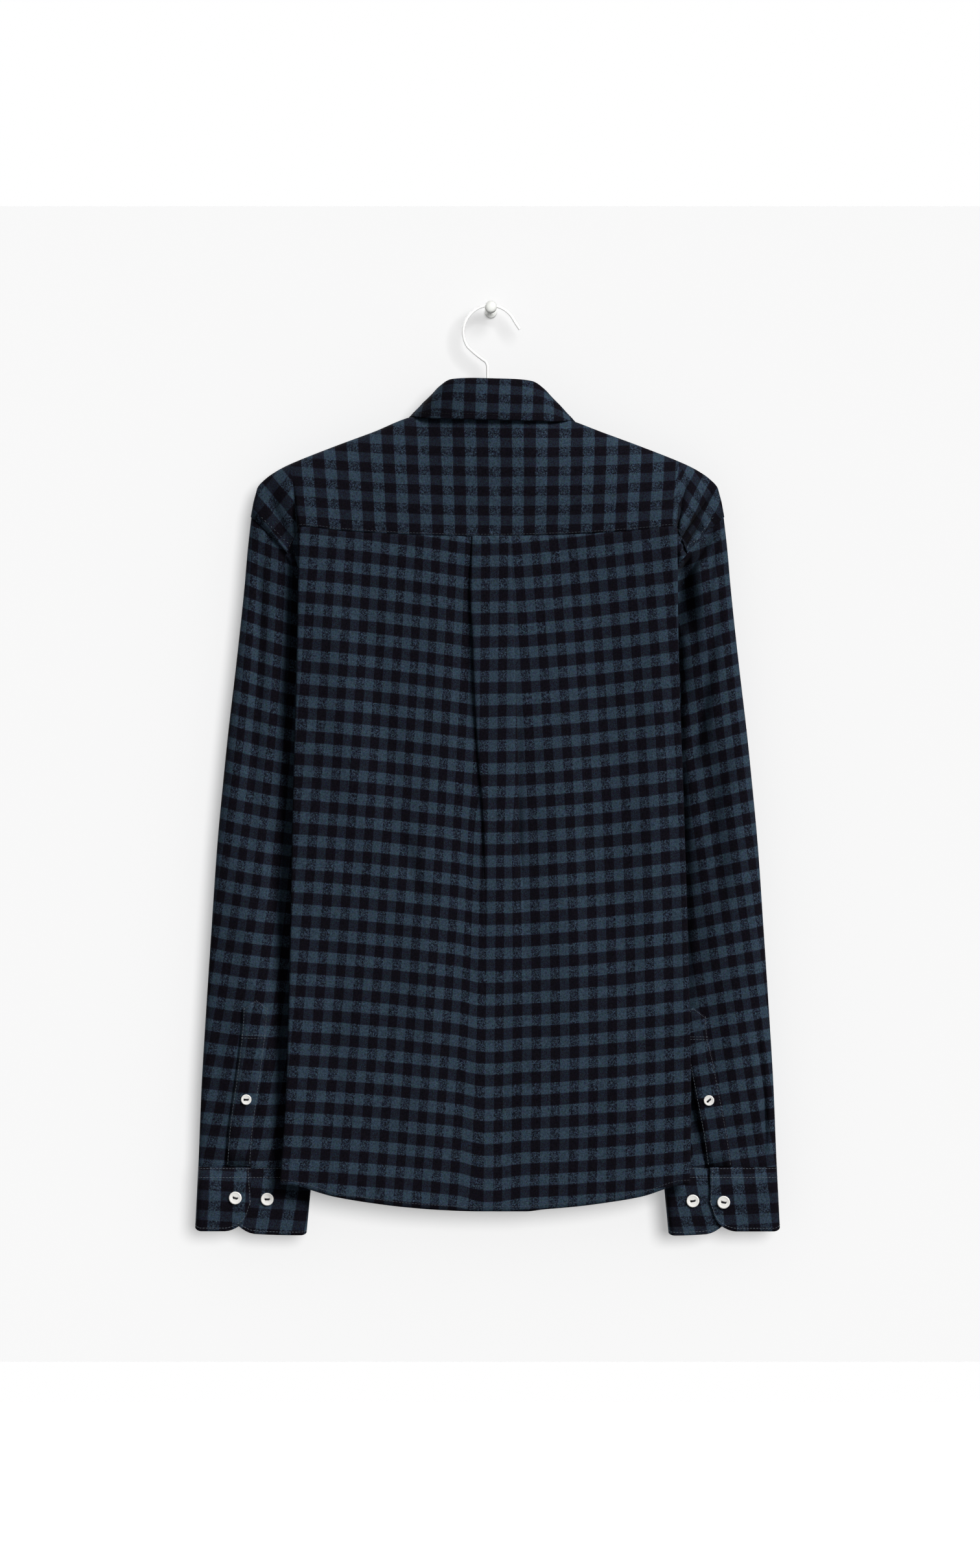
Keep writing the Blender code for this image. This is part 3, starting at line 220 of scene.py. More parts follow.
# Soft troughs down the sleeves: where they start and end, how far across, depth and width
SLEEVE_TROUGHS = {
    (LEFT, BACK): (-230, -520, 0.36, 4.0, 0.10),
    (RIGHT, BACK): (-220, -600, 0.33, 4.5, 0.09),
    (LEFT, FRONT): (-240, -560, 0.40, 4.0, 0.10),
    (RIGHT, FRONT): (-240, -500, 0.42, 4.0, 0.10),
}

# Cuffs
CUFF_TOP_Z = -798.45
CUFF_DEPTH = 8.0
CUFF_BOW = 0.4
CUFF_INNER_TOP, CUFF_INNER_HEM = 162.5, 168.5
CUFF_UNDERLAP = 25.0  # the end underneath goes this far past the end on top
CUFF_LAP_CORNER = 26.0  # radius of the rounded end on top
CUFF_UNDER_CORNER = 38.0  # and of the end underneath
CUFF_END_GAP = 0.35  # between the two ends
CUFF_FULL = 60.0  # far enough from an end to have no corner
CUFF_HEM_BELOW = 850.0
CUFF_ROWS = (0.0, 0.35, 0.65, 0.85, 0.975, 1.0)
CUFF_LOW = (0.0, 0.0, 0.1, 0.4, 0.95, 1.0)  # how much each of them moves with the hem
CUFF_CORNERS = ((5.0, 3.2), (4.0, 1.8))  # the hem's outer and inner corner: width and height
CUFF_LOW_SHARE = 0.7  # and how much of a corner the last row but one takes
CUFF_HEM_DROPS = (1.5, 1.7)  # how far the last two rows are lowered between the corners
NOTCH_RISE, NOTCH_WIDE = 7.0, 17.0  # how far the hem behind the notch is raised, and how wide

# For each cuff: where the end on top ends across, the hem's height at either end, and where
# across the notch between the two rounded ends is
CUFFS = {
    LEFT: {"lap": 219.8, "lap_hem": -856.4, "under_hem": -860.4, "notch": 229.0},
    RIGHT: {"lap": 206.6, "lap_hem": -856.6, "under_hem": -860.6, "notch": 216.0},
}

# Sleeve plackets: their middle line, across by depth below the origin
PLACKET_HALF = 11.8
PLACKET_POINT = 9.0
PLACKET_POINT_SHARE = 0.2  # share of the strip's length that the point takes
PLACKET_LIFT = 0.2  # beyond a seam's gap, above the sleeve
PLACKET_ROWS = (0.0, 0.06, 0.12, 0.2, 0.35, 0.5, 0.65, 0.8, 0.9, 1.0)
STRIP_PARTS = (-1.0, -0.5, 0.0, 0.5, 1.0)  # places across a strip, from edge to edge
PLACKETS = {
    LEFT: table(
        "below across", (642, 214.5), (674.5, 217), (715, 221.9), (764.5, 228.8), (797.6, 231.2)
    ),
    RIGHT: table(
        "below across", (650, 191), (678, 193), (703, 199.1), (735, 205.1), (765.7, 211.1), (797.6, 215.6)
    ),
}

# Front placket
FRONT_PLACKET_HALF = 15.6
FRONT_PLACKET_TOP_GAP, FRONT_PLACKET_HEM_GAP = 1.2, 0.6

# Hanger and peg
WIRE_RADIUS = 1.35
ARM_RADIUS = 4.5
ARM_END = 198.0
ARM_CLEARANCE = 0.9
ARM_NECK_DROP, ARM_NECK_HALF = 6.0, 110.0  # near the neck the arms lie lower than the shoulder
ARM_MIDDLE_SLOPE = -0.36
HOOK_CENTRE = np.array([2.3, -21.5])  # from the hanger's middle
HOOK_RADIUS = 24.85
HOOK_START, HOOK_END = 27.0, 214.0  # degrees
HOOK_TIP = ((30.1, -19.0), (27.0, -14.3))
HOOK_NECK = ((-11.9, -41.4), (-5.4, -46.5), (-1.3, -49.8), (0.0, -54.0), (0.0, -66.0), (0.0, -96.0))
HOOK_NECK_SPANS = (2, 4, 4, 4, 2, 2)
HANGER_TOP_Z = -94.0
PEG_PROFILE = (
    (0.0, 0.0), (5.5, 0.0), (5.5, -3.4), (4.9, -4.0), (1.6, -4.4), (1.6, -47.6),
    (4.9, -48.0), (5.5, -48.7), (5.5, -57.0), (4.6, -58.8), (2.6, -59.7), (0.0, -60.0),
)

# How finely each stretch between two worked-out places is divided
SIDE_SPANS = (2, 9, 24, 2, 3, 4)
FLAT_SPANS = (7, 9, 9, 7, 6)
PLEAT_SPANS = (5, 1, 1, 4, 1, 1, 3)
BACK_HALF_SPANS = (*SIDE_SPANS, *FLAT_SPANS, *PLEAT_SPANS)
BACK_SPANS = (*BACK_HALF_SPANS, 5, *BACK_HALF_SPANS[::-1])
FRONT_SPANS = (*SIDE_SPANS, 7, 8, 8, 3, 5, 5, 3, 4)
YOKE_HALF_SPANS = (*SIDE_SPANS, 7, 8, 8, 3, 4, 5, 5)
YOKE_FRONT_SPANS = (*SIDE_SPANS, 7, 8, 8)
BAND_HALF_SPANS = (2, 3, 4, 4, 4, 4, 4, 6, 4, 4, 4)
LEAF_HALF_SPANS = (5, 5, 5, 6, 6, 6, 5, 6, 5)
CUFF_SPANS = (4, 5, 12, 3, 3, 3, 22, 3, 3, 3, 8, 6, 5)
TURN_COLUMN = sum(SIDE_SPANS) + sum(FLAT_SPANS) + sum(PLEAT_SPANS[:2])


# ---------------- smooth lines


def slopes(x, y):
    """Slopes at the knots that keep a cubic through them from overshooting."""
    step = np.diff(x)[:, None]
    rise = np.diff(y, axis=0) / step
    found = np.zeros_like(y)
    found[0], found[-1] = rise[0], rise[-1]
    before, after = rise[:-1], rise[1:]
    same_way = before * after > 0
    heavy, light = 2 * step[1:] + step[:-1], step[1:] + 2 * step[:-1]
    safe_before = np.where(same_way, before, 1.0)
    safe_after = np.where(same_way, after, 1.0)
    mean = (heavy + light) / (heavy / safe_before + light / safe_after)
    found[1:-1] = np.where(same_way, mean, 0.0)
    return found


def read_curve(x, y, at):
    """The rows of y, given at the knots x, read smoothly at each place in at."""
    x, y, at = np.asarray(x, float), np.asarray(y, float), np.asarray(at, float)
    slope = slopes(x, y)
    k = np.clip(np.searchsorted(x, at, side="right") - 1, 0, len(x) - 2)
    width = (x[k + 1] - x[k])[:, None]
    t = np.clip((at - x[k])[:, None] / width, 0.0, 1.0)
    return (
        y[k] * (1 + 2 * t) * (1 - t) ** 2
        + slope[k] * width * t * (1 - t) ** 2
        + y[k + 1] * t * t * (3 - 2 * t)
        + slope[k + 1] * width * t * t * (t - 1)
    )


def read(columns, name, at):
    """One column of a table at one place of its first column."""
    return float(read_curve(next(iter(columns.values())), columns[name][:, None], [at])[0, 0])


def run_along(points):
    """How far along a line each of its points is."""
    return np.concatenate([[0.0], np.cumsum(np.linalg.norm(np.diff(points, axis=0), axis=1))])


def through(points, spans):
    """A smooth line through the points, with each span between two cut into so many pieces."""
    points = np.array(points, float)
    run = run_along(points)
    at = [run[0]]
    for k, pieces in enumerate(spans):
        at += [run[k] + (run[k + 1] - run[k]) * n / pieces for n in range(1, pieces + 1)]
    return read_curve(run, points, at)


def both_ways(spans):
    """The spans, and then the same in reverse."""
    return (*spans, *spans[::-1])


def spaced(count, start=0.0, end=1.0):
    return np.linspace(start, end, count)


def blend(a, b, share):
    return a + (b - a) * share


def smooth_step(x):
    x = np.clip(x, 0.0, 1.0)
    return x * x * (3 - 2 * x)


def within(x, limit, over):
    """1 in the middle, falling over a distance to 0 at a limit on either side."""
    return smooth_step((limit - np.abs(x)) / over)


def lower(z, start, over):
    """0 down to a height, rising to 1 over a distance below it."""
    return smooth_step((start - z) / over)


def bell(x, wide):
    """1 at 0, falling smoothly on both sides over a width."""
    return np.exp(-((x / wide) ** 2))


# ---------------- form of the shirt


def shoulder_z(across):
    """Height of the cloth's middle along the shoulder line."""
    return read(SHOULDER, "height", abs(across)) - WALL / 2


def fullness(drop):
    """Share of the full depth at a distance below the shoulder line: a rounded shoulder."""
    t = min(max(drop / ROUNDING, 0.0), 1.0)
    return math.sqrt(1 - (1 - t) ** 2)


def body_depth(across, z):
    """Depth of the flat of the back or front, from MID_Y."""
    from_neck = min(abs(across - COLLAR_X * (abs(across) < NECK_HALF)) / NECK_HALF, 1.0)
    top = shoulder_z(across) + NECK_LIFT * (1 - from_neck**2) ** 2
    down = min(max((YOKE_TOP_Z - z) / (YOKE_TOP_Z - BACK_HEM_Z), 0.0), 1.0)
    swell = SWELL * math.sin(math.pi * down) * math.cos(math.pi * across / SWELL_WIDTH)
    return HALF_DEPTH * fullness(top - z) + swell


def flat_oval(share):
    """Thickness of a flattened tube at a share of its width, from 0 at an edge to 1."""
    return max(4 * share * (1 - share), 0.0) ** ARMHOLE_ROUND


def ring_point(outer, inner, bulge, depth, share, side, face):
    """A point of a flattened ring between its outer and inner edges."""
    way = (inner - outer) / np.linalg.norm(inner - outer)
    across, z = blend(outer, inner, share) + bulge * 4 * share * (1 - share) * np.array([way[1], -way[0]])
    return np.array([side * across, MID_Y + face * depth * flat_oval(share), z])


def armhole(side, share, face):
    """A point of the body's armhole edge, from the shoulder (0) to the underarm (1)."""
    return ring_point(SHOULDER_POINT, UNDERARM, ARMHOLE_BULGE, ARMHOLE_DEPTH, share, side, face)


def side_end(side, v, face, first_share):
    """The side end of a body row: the armhole edge down to the underarm, then the side seam."""
    if v < UNDERARM_ROW:
        point = armhole(side, blend(first_share, 1.0, v / UNDERARM_ROW), face)
    else:
        across, z = blend(UNDERARM, SIDE_SEAM_END, (v - UNDERARM_ROW) / (1 - UNDERARM_ROW))
        point = np.array([side * across, MID_Y, z])
    point[1] = MID_Y + face * max(face * (point[1] - MID_Y), SIDE_SEAM_HALF_GAP)
    return point


def side_fold(side, z):
    return read(SIDE_FOLD, SIDES[side], -z)


def side_points(side, v, face, fold_z, first_share):
    """The points of a body row from its side end, round the fold, to the flat."""
    end = side_end(side, v, face, first_share)
    fold = side_fold(side, fold_z)
    full = body_depth(fold, fold_z)
    end_across = side * end[0]
    leaf = min(blend(LEAF_DEPTH_TOP, LEAF_DEPTH, min(v / LEAF_DEEPENS, 1.0)), LEAF_MOST * full)
    corner = max(abs(end[1] - MID_Y) + min(v / CORNER_OPENS, 1.0), CORNER_LEAST * leaf)
    points = [end]
    for share, depth in ((NEAR_SEAM, corner), (ON_LEAF, leaf), (BEHIND_FOLD, BEHIND_FOLD_DEPTH * full)):
        across, z = blend(fold, end_across, share), blend(fold_z, end[2], share)
        points.append(np.array([side * across, MID_Y + face * depth, z]))
    for inside, share in zip(FOLD_INSIDE, FOLD_DEPTHS):
        points.append(np.array([side * (fold - inside), MID_Y + face * share * full, fold_z]))
    return points


def yoke_seam_z(across):
    return YOKE_SEAM_Z + YOKE_SEAM_RISE * (across / HALF_BACK) ** 2


def hem_z(level, across, fold):
    """Height of a curved hem at a distance across."""
    return level + HEM_RISE * (across / fold) ** 2


def flat_of_back(across, z):
    return np.array([across, MID_Y - body_depth(across, z), z])


def on_yoke_seam(across):
    return flat_of_back(across, yoke_seam_z(across))


def pleat_points(edge, way, z):
    """One edge of the box pleat: flat, folded under, back and over, as three layers."""
    under, pitch = read(PLEAT, "under", -z), read(PLEAT, "pitch", -z)
    open_share = min(max((1 - under) / 5, 0.0), 1.0)
    turn = PLEAT_TURN * (1 - open_share)
    spread = PLEAT_SPREAD * open_share
    sunk = read(PLEAT_EDGES, "sunk_left" if way > 0 else "sunk_right", -z)
    low, middle, high = -pitch - sunk, -sunk / 2, pitch
    rows = (
        (-PLEAT_REACH, low), (under - spread, low), (under + turn, (low + middle) / 2),
        (under + spread, middle), (-spread, middle), (-turn, (middle + high) / 2),
        (spread, high), (PLEAT_REACH, high),
    )
    return [
        np.array([edge + way * along, MID_Y + BACK * (body_depth(edge + way * along, z) + rise), z])
        for along, rise in rows
    ]


def back_row(v):
    """One row of the back from its left end to its right end, between two curved edges."""
    fold_z = blend(yoke_seam_z(HALF_BACK), BACK_HEM_Z + HEM_RISE, v)
    fold = side_fold(LEFT, fold_z)
    half = {side: side_points(side, v, BACK, fold_z, YOKE_BACK_END) for side in SIDES}
    for side in SIDES:
        columns = [side * across for across in OUTER_COLUMNS]
        columns += [COLLAR_X + side * across for across in INNER_COLUMNS]
        for across in columns:
            z = blend(yoke_seam_z(across), hem_z(BACK_HEM_Z, across, fold), v)
            half[side].append(flat_of_back(across, z))
        z = blend(yoke_seam_z(PLEAT_X), hem_z(BACK_HEM_Z, PLEAT_X, fold), v)
        half[side] += pleat_points(read(PLEAT_EDGES, SIDES[side], -z), -side, z)
    return through(half[LEFT] + half[RIGHT][::-1], BACK_SPANS)


def neck_point(side, row):
    """Across, depth and height of the lower edge of the collar band."""
    across = COLLAR_X + side * NECK["neck_x"][row]
    if row == NECK_SIDE:
        return across, 0.0, shoulder_z(across)
    z = NECK["neck_z"][row]
    return across, body_depth(across, z), z


def neck_between(side, row):
    """A point of the neckline between two rows of NECK."""
    line = []
    for k, face in enumerate(NECK["face"]):
        across, depth, z = neck_point(side, k)
        line.append((across, MID_Y + face * depth, z))
    return read_curve(range(len(line)), line, [row])[0]


def front_points(side, v):
    """One row of a front from its side end to its lapped edge."""
    lap = FRONT * (LAP_STEP if side == LEFT else -LAP_STEP)
    fold_z = blend(FRONT_FOLD_TOP_Z, FRONT_HEM_Z + HEM_RISE, v)
    fold = side_fold(side, fold_z)
    points = side_points(side, v, FRONT, fold_z, YOKE_FRONT_END)
    corner_x, _, corner_z = neck_point(side, NECK_CORNER)
    tops = [(side * across, z, 0.0) for across, z in FRONT_TOPS] + [(corner_x, corner_z, 0.0)]
    for row, share in FRONT_LAPS:
        across, _, z = neck_point(side, row)
        tops.append((across, z, share))
    tops.append((COLLAR_X, CENTRE_FRONT_Z, 1.0))
    tops.append((COLLAR_X - side * OVERLAP, OVERLAP_Z, 1.0))
    for across, top, share in tops:
        z = blend(top, hem_z(FRONT_HEM_Z, across, fold), v)
        depth = body_depth(across, z) + lap * share
        points.append(np.array([across, MID_Y + FRONT * depth, z]))
    return points


def on_shoulder(side, across):
    return np.array([side * across, shoulder_z(across)])


def yoke_point(top, seam, t):
    """A point between the shoulder line and a seam, rounded over the shoulder."""
    across, z = blend(top[0], seam[0], t), blend(top[1], seam[2], t)
    drop = top[1] - seam[2]
    depth = (seam[1] - MID_Y) * fullness(t * drop) / fullness(drop)
    return np.array([across, MID_Y + depth, z])


def yoke_back_row(t):
    """One row of the yoke's back, from the shoulder and neckline (0) to the yoke seam (1)."""
    half = {side: [armhole(side, YOKE_BACK_END * t, BACK)] for side in SIDES}
    for side, points in half.items():
        seam = side_points(side, 0.0, BACK, yoke_seam_z(HALF_BACK), YOKE_BACK_END)[1:]
        points += [yoke_point(on_shoulder(side, a), s, t) for a, s in zip(SHOULDER_ACROSS, seam)]
        for across, seam_x in YOKE_OUTER:
            points.append(yoke_point(on_shoulder(side, across), on_yoke_seam(side * seam_x), t))
        for row, seam_x in YOKE_INNER:
            across, _, z = neck_point(side, row)
            seam = on_yoke_seam(COLLAR_X + side * seam_x)
            if row == NECK_SIDE:
                points.append(yoke_point((across, z), seam, t))
            else:
                points.append(flat_of_back(blend(across, seam[0], t), blend(z, seam[2], t)))
    middle = flat_of_back(COLLAR_X, blend(NECK["neck_z"][0], YOKE_SEAM_Z, t))
    return through([*half[LEFT], middle, *half[RIGHT][::-1]], both_ways(YOKE_HALF_SPANS))


def yoke_front_row(side, t):
    """One row of the yoke's front part on one side, from the shoulder (0) to the front seam (1)."""
    seam_points = front_points(side, 0.0)[1:]
    tops = [on_shoulder(side, a) for a in (*SHOULDER_ACROSS, *(outer for outer, _ in YOKE_OUTER))]
    points = [armhole(side, YOKE_FRONT_END * t, FRONT)]
    points += [yoke_point(top, seam, t) for top, seam in zip(tops, seam_points)]
    points.append(neck_between(side, blend(NECK_SIDE, NECK_CORNER, t)))
    return through(points, YOKE_FRONT_SPANS)


# ---------------- sleeves and cuffs


def trough(side, face, share, z):
    """How far the sleeve's soft trough presses a point towards its middle plane."""
    top, bottom, middle, deep, wide = SLEEVE_TROUGHS[side, face]
    along = (z - bottom) / (top - bottom)
    if not 0.0 < along < 1.0:
        return 0.0
    return deep * math.sin(math.pi * along) ** TROUGH_TAPER * math.exp(-(((share - middle) / wide) ** 2))


def sleeve_edges(row):
    """The outer and inner edges of a sleeve's ring."""
    outer_z = read(SLEEVE, "outer_z", row)
    lap = read(SLEEVE, "inset", row) * LAP
    outer_x = read(SLEEVE_OUTLINE, "across", -outer_z) - WALL / 2
    inner_x = read(SLEEVE, "inner_x", row) + (lap + WALL / 2)
    return np.array([outer_x, outer_z - LAP_DROP * lap]), np.array([inner_x, read(SLEEVE, "inner_z", row)])


def sleeve_ring(side, row, around):
    """One ring of a sleeve, from its outer edge over the back face and round the front."""
    outer, inner = sleeve_edges(row)
    depth = read(SLEEVE, "depth", row) - read(SLEEVE, "inset", row) * LAP
    bulge = read(SLEEVE, "bulge", row)
    ring = []
    for k in range(around):
        turn = 2 * math.pi * k / around
        share = (1 - math.cos(turn)) / 2
        face = BACK if turn < math.pi else FRONT
        point = ring_point(outer, inner, bulge, depth, share, side, face)
        point[1] -= face * trough(side, face, share, point[2])
        ring.append(point)
    return np.array(ring)


def sleeve_depth(across, z):
    """Half thickness of a sleeve at a place below the elbow."""
    row = float(np.interp(-z, -(SLEEVE["outer_z"] + SLEEVE["inner_z"]) / 2, SLEEVE["row"]))
    outer, inner = sleeve_edges(row)
    share = (outer[0] - abs(across)) / (outer[0] - inner[0])
    return read(SLEEVE, "depth", row) * flat_oval(min(max(share, 0.0), 1.0))


def placket_net(side):
    """The pointed strip on the sleeve's back face, a net of rows from its point to the cuff."""
    line = PLACKETS[side]
    rows = []
    for down in PLACKET_ROWS:
        row = []
        for part in STRIP_PARTS:
            below = blend(line["below"][0], line["below"][-1], down)
            below += PLACKET_POINT * abs(part) * max(1 - down / PLACKET_POINT_SHARE, 0.0)
            across = read(line, "across", below) + part * PLACKET_HALF
            lift = sleeve_depth(across, -below) + WALL / 2 + GAP + PLACKET_LIFT + PLACKET_WALL / 2
            row.append((side * across, MID_Y - lift, -below))
        rows.append(row)
    return np.array(rows)


def cuff_hem(distance, corner, hem):
    """Height of a cuff's lower edge at a distance from an end with a rounded corner."""
    if distance >= corner:
        return hem
    return hem + corner - math.sqrt(corner**2 - (corner - distance) ** 2)


def cuff_net(side):
    """A cuff: one band that goes round the wrist and passes under its own end."""
    size = CUFFS[side]
    outer_top, outer_hem = (
        read(SLEEVE_OUTLINE, "across", below) - CUFF_WALL / 2 for below in (-CUFF_TOP_Z, CUFF_HEM_BELOW)
    )
    over = CUFF_DEPTH + CUFF_WALL + CUFF_END_GAP
    lap, under = size["lap"], size["lap"] + CUFF_UNDERLAP
    rows = []
    for down in CUFF_ROWS:
        outer = blend(outer_top, outer_hem, down)
        inner = blend(CUFF_INNER_TOP, CUFF_INNER_HEM, down) + CUFF_WALL / 2
        # Places from the end on top, round the wrist, to the end underneath: across, depth,
        # distance from an end, and share of the way from the hem on top to the one underneath.
        outline = (
            (lap, -over, 0.0, 0.0), (lap + 8, -over - 0.2, 8.0, 0.0), (lap + 24, -over - 0.4, 24.0, 0.0),
            (outer - 5, -over + 0.3, CUFF_FULL, 0.0), (outer - 1.2, -over * 0.72, CUFF_FULL, 0.05),
            (outer, 0.0, CUFF_FULL, 0.1), (outer - 5, CUFF_DEPTH, CUFF_FULL, 0.2),
            (inner + 5, CUFF_DEPTH, CUFF_FULL, 0.9), (inner, 0.0, CUFF_FULL, 1.0),
            (inner + 1.2, -CUFF_DEPTH * 0.7, CUFF_FULL, 1.0), (inner + 5, -CUFF_DEPTH, CUFF_FULL, 1.0),
            (under - 28, -CUFF_DEPTH - 0.4, 28.0, 1.0), (under - 8, -CUFF_DEPTH - 0.2, 8.0, 1.0),
            (under, -CUFF_DEPTH + 0.2, 0.0, 1.0),
        )
        line = []
        for across, depth, distance, share in outline:
            hem = blend(size["lap_hem"], size["under_hem"], share)
            corner = CUFF_UNDER_CORNER if share > 0.5 else CUFF_LAP_CORNER
            z = blend(CUFF_TOP_Z, cuff_hem(distance, corner, hem), down)
            bow = CUFF_BOW * math.sin(math.pi * down) * (1 if depth > 0 else -1)
            line.append((side * across, MID_Y + depth + bow, z))
        rows.append(through(line, CUFF_SPANS))
    return shape_hem(np.array(rows), size["notch"])


def shape_hem(net, notch):
    """A cuff's net with its hem's corners rounded and its far side raised behind the notch."""
    out = np.abs(net[..., 0])
    rounded = 0.0
    for (wide, high), inside in zip(CUFF_CORNERS, (out[-1].max() - out[-1], out[-1] - out[-1].min())):
        rounded += high * (1.0 - np.clip(inside / wide, 0.0, 1.0)) ** 2
    net[-2, :, 2] += CUFF_LOW_SHARE * rounded - CUFF_HEM_DROPS[0]
    net[-1, :, 2] += rounded - CUFF_HEM_DROPS[1]
    behind = smooth_step((net[..., 1] - MID_Y) / 3.0)
    net[..., 2] += NOTCH_RISE * np.array(CUFF_LOW)[:, None] * behind * bell(out - notch, NOTCH_WIDE)
    return net


# ---------------- collar


def collar_station(side, row):
    """The band's lower edge and top, the leaf's edge and the way out, at one row of NECK."""
    station = {name: values[row] for name, values in NECK.items()}
    face = station["face"]
    across, depth, z = neck_point(side, row)
    tilt = COLLAR_TILT * side * (row <= NECK_SIDE)
    fold_z = station["fold_z"] - tilt * station["fold_x"]
    edge_x = COLLAR_X + side * station["edge_x"]
    edge_z = station["edge_z"] - tilt * station["edge_x"]
    edge_depth = 0.0 if row == NECK_SIDE else body_depth(edge_x, edge_z) + LEAF_EDGE_LIFT
    turn = math.radians(station["turn"])
    return (
        np.array([across, MID_Y + face * depth, z]),
        np.array([COLLAR_X + side * station["fold_x"], MID_Y + face * station["fold_depth"], fold_z]),
        np.array([edge_x, MID_Y + face * edge_depth, edge_z]),
        np.array([side * math.sin(turn), -math.cos(turn), 0.0]),
    )


def up_band(neck, fold):
    return (fold - neck) / np.linalg.norm(fold - neck)


def band_net():
    """The collar band, a loop whose left end laps over its right end at the front."""
    columns = []
    for side, rows in ((RIGHT, range(NECK_END, 0, -1)), (LEFT, range(NECK_END + 1))):
        lap = FRONT * (LAP_STEP + BAND_LAP) * (1 if side == LEFT else -1)
        half = []
        for row in rows:
            neck, fold, _, _ = collar_station(side, row)
            if row >= NECK_END - 1:
                neck[1] += lap
                fold[1] += lap
            half.append((neck, fold))
        neck_y = MID_Y + body_depth(COLLAR_X, CENTRE_FRONT_Z) + lap
        fold_y = MID_Y + BAND_FRONT_DEPTH + lap
        tip_neck = np.array([COLLAR_X - side * BAND_TIP, neck_y, CENTRE_FRONT_Z + BAND_TIP_RISE])
        tip_fold = np.array([COLLAR_X - side * BAND_TIP_TOP, fold_y, BAND_TIP_Z])
        middle = (np.array([COLLAR_X, neck_y, CENTRE_FRONT_Z]), np.array([COLLAR_X, fold_y, BAND_MIDDLE_Z]))
        end = [(tip_neck, tip_fold), middle]
        columns += [*end, *half] if side == RIGHT else [*half, *end[::-1]]
    rows = []
    for share in spaced(5):
        line = [blend(neck + up_band(neck, fold) * BAND_OVER_NECK, fold, share) for neck, fold in columns]
        rows.append(through(line, both_ways(BAND_HALF_SPANS)))
    return np.array(rows)


def leaf_net():
    """The collar leaf, folded over the band from its top edge out and down to its own edge."""
    stations = [collar_station(LEFT, row) for row in range(NECK_END, 0, -1)]
    stations += [collar_station(RIGHT, row) for row in range(NECK_END + 1)]
    rows = []
    for up, away, flare, share in zip(*LEAF_ROLL.values()):
        line = [
            blend(fold, edge, share) + up_band(neck, fold) * up + out * (away + flare * abs(out[1]))
            for neck, fold, edge, out in stations
        ]
        rows.append(through(line, both_ways(LEAF_HALF_SPANS)))
    return np.array(rows)


# ---------------- the checks

CHECK_ACROSS, CHECK_DOWN = 17.4, 21.4  # one light and one dark stripe of the cloth, mm

# Where the checks lie: count = start + across + down and their products, in cycles and
# decimetres, about a place of its own. The cloth fans and sags a little as it hangs.
CHECKS = table(
    "middle_x middle_z u0 ux uz uxx uxz uzz v0 vx vz vxx vxz vzz",
    (0, -520, 25.597, 6.442, -0.303, 0.235, 0.079, 0.013, 37.235, -0.743, -4.714, -0.118, -0.032, 0),
    (0, -520, 25.951, 6.048, -0.057, 0, 0, 0, 37.270, 0.138, -4.676, 0, 0, 0),
    (0, -520, 26.185, 5.786, 0.148, -0.025, 0.028, 0.051, 37.223, 0.254, -4.710, 0.112, 0.043, 0.008),
    (0, -160, 20.829, 4.630, 0.054, 0, -0.210, 0.021, 24.879, -0.051, -5.540, 0.140, -0.043, -0.064),
    (0, -88, 21.400, 4.680, -0.178, 0, 0, 0, 22.614, -0.158, -5.896, 0, 0, 0),
    (-245, -442, 13.028, 6.870, -0.797, -0.461, 0.538, 0.048, 33.696, -1.298, -4.465, 0.399, -0.312, 0.033),
    (245, -442, 43.210, 6.782, 0.798, 0.445, 0.185, -0.030, 34.031, 1.150, -4.612, -0.222, 0.149, 0.017),
    (-260, -830, 8.839, 4.392, -0.200, 0, 0, 0, 63.285, -0.328, -5.347, 0, 0, 0),
    (250, -830, 32.835, 4.537, 0.471, 0, 0, 0, 63.136, 0.216, -5.328, 0, 0, 0),
    (0, -500, 25.300, 5.750, 0, 0, 0, 0, 37.500, 0, -4.670, 0.030, 0, 0),
    (-200, -185, 10.998, 3.500, 2.947, 0, 0, 0, 25.690, 3.682, -3.038, 0, 0, 0),
    (200, -185, 30.690, 5.380, -2.690, 0, 0, 0, 25.510, -4.960, -3.930, 0, 0, 0),
)
BACK_LEFT, BACK_BOX, BACK_RIGHT, ON_YOKE, ON_COLLAR = range(5)
ON_SLEEVE = {LEFT: 5, RIGHT: 6}
ON_CUFF = {LEFT: 7, RIGHT: 8}
ON_FRONT = 9
ON_SHOULDER = {LEFT: 10, RIGHT: 11}
CUT_ACROSS = (3, 4, 7, 8, 10, 11)  # the yoke, collar and cuffs, whose warp runs across

# Where the shoulder's cloth is creased over towards the armhole, across by height
SHOULDER_CREASE = table("below left right", (150, 183, 177), (168, 180, 176), (222, 174, 175))


def checks(kind, x, z):
    """The count of checks across and down at places of the cloth laid out flat."""
    c = {name: values[kind] for name, values in CHECKS.items()}
    x, z = (x + HANGER_X - c["middle_x"]) / 100, (z - c["middle_z"]) / 100
    terms = {"0": 1, "x": x, "z": z, "xx": x * x, "xz": x * z, "zz": z * z}
    counts = [sum(c[way + name] * value for name, value in terms.items()) for way in "uv"]
    return np.stack(counts[::-1] if kind in CUT_ACROSS else counts, axis=-1)


def along_rows(net):
    """How far each point of a net is from the first column, along its row and seen from above."""
    step = np.linalg.norm(np.diff(net, axis=1)[..., :2], axis=-1)
    return np.concatenate([np.zeros((len(net), 1)), np.cumsum(step, axis=1)], axis=1)


def down_columns(net):
    """How far each point of a net is from the first row, along its column."""
    step = np.linalg.norm(np.diff(net[..., :3], axis=0), axis=-1)
    return np.concatenate([np.zeros((1, net.shape[1])), np.cumsum(step, axis=0)])


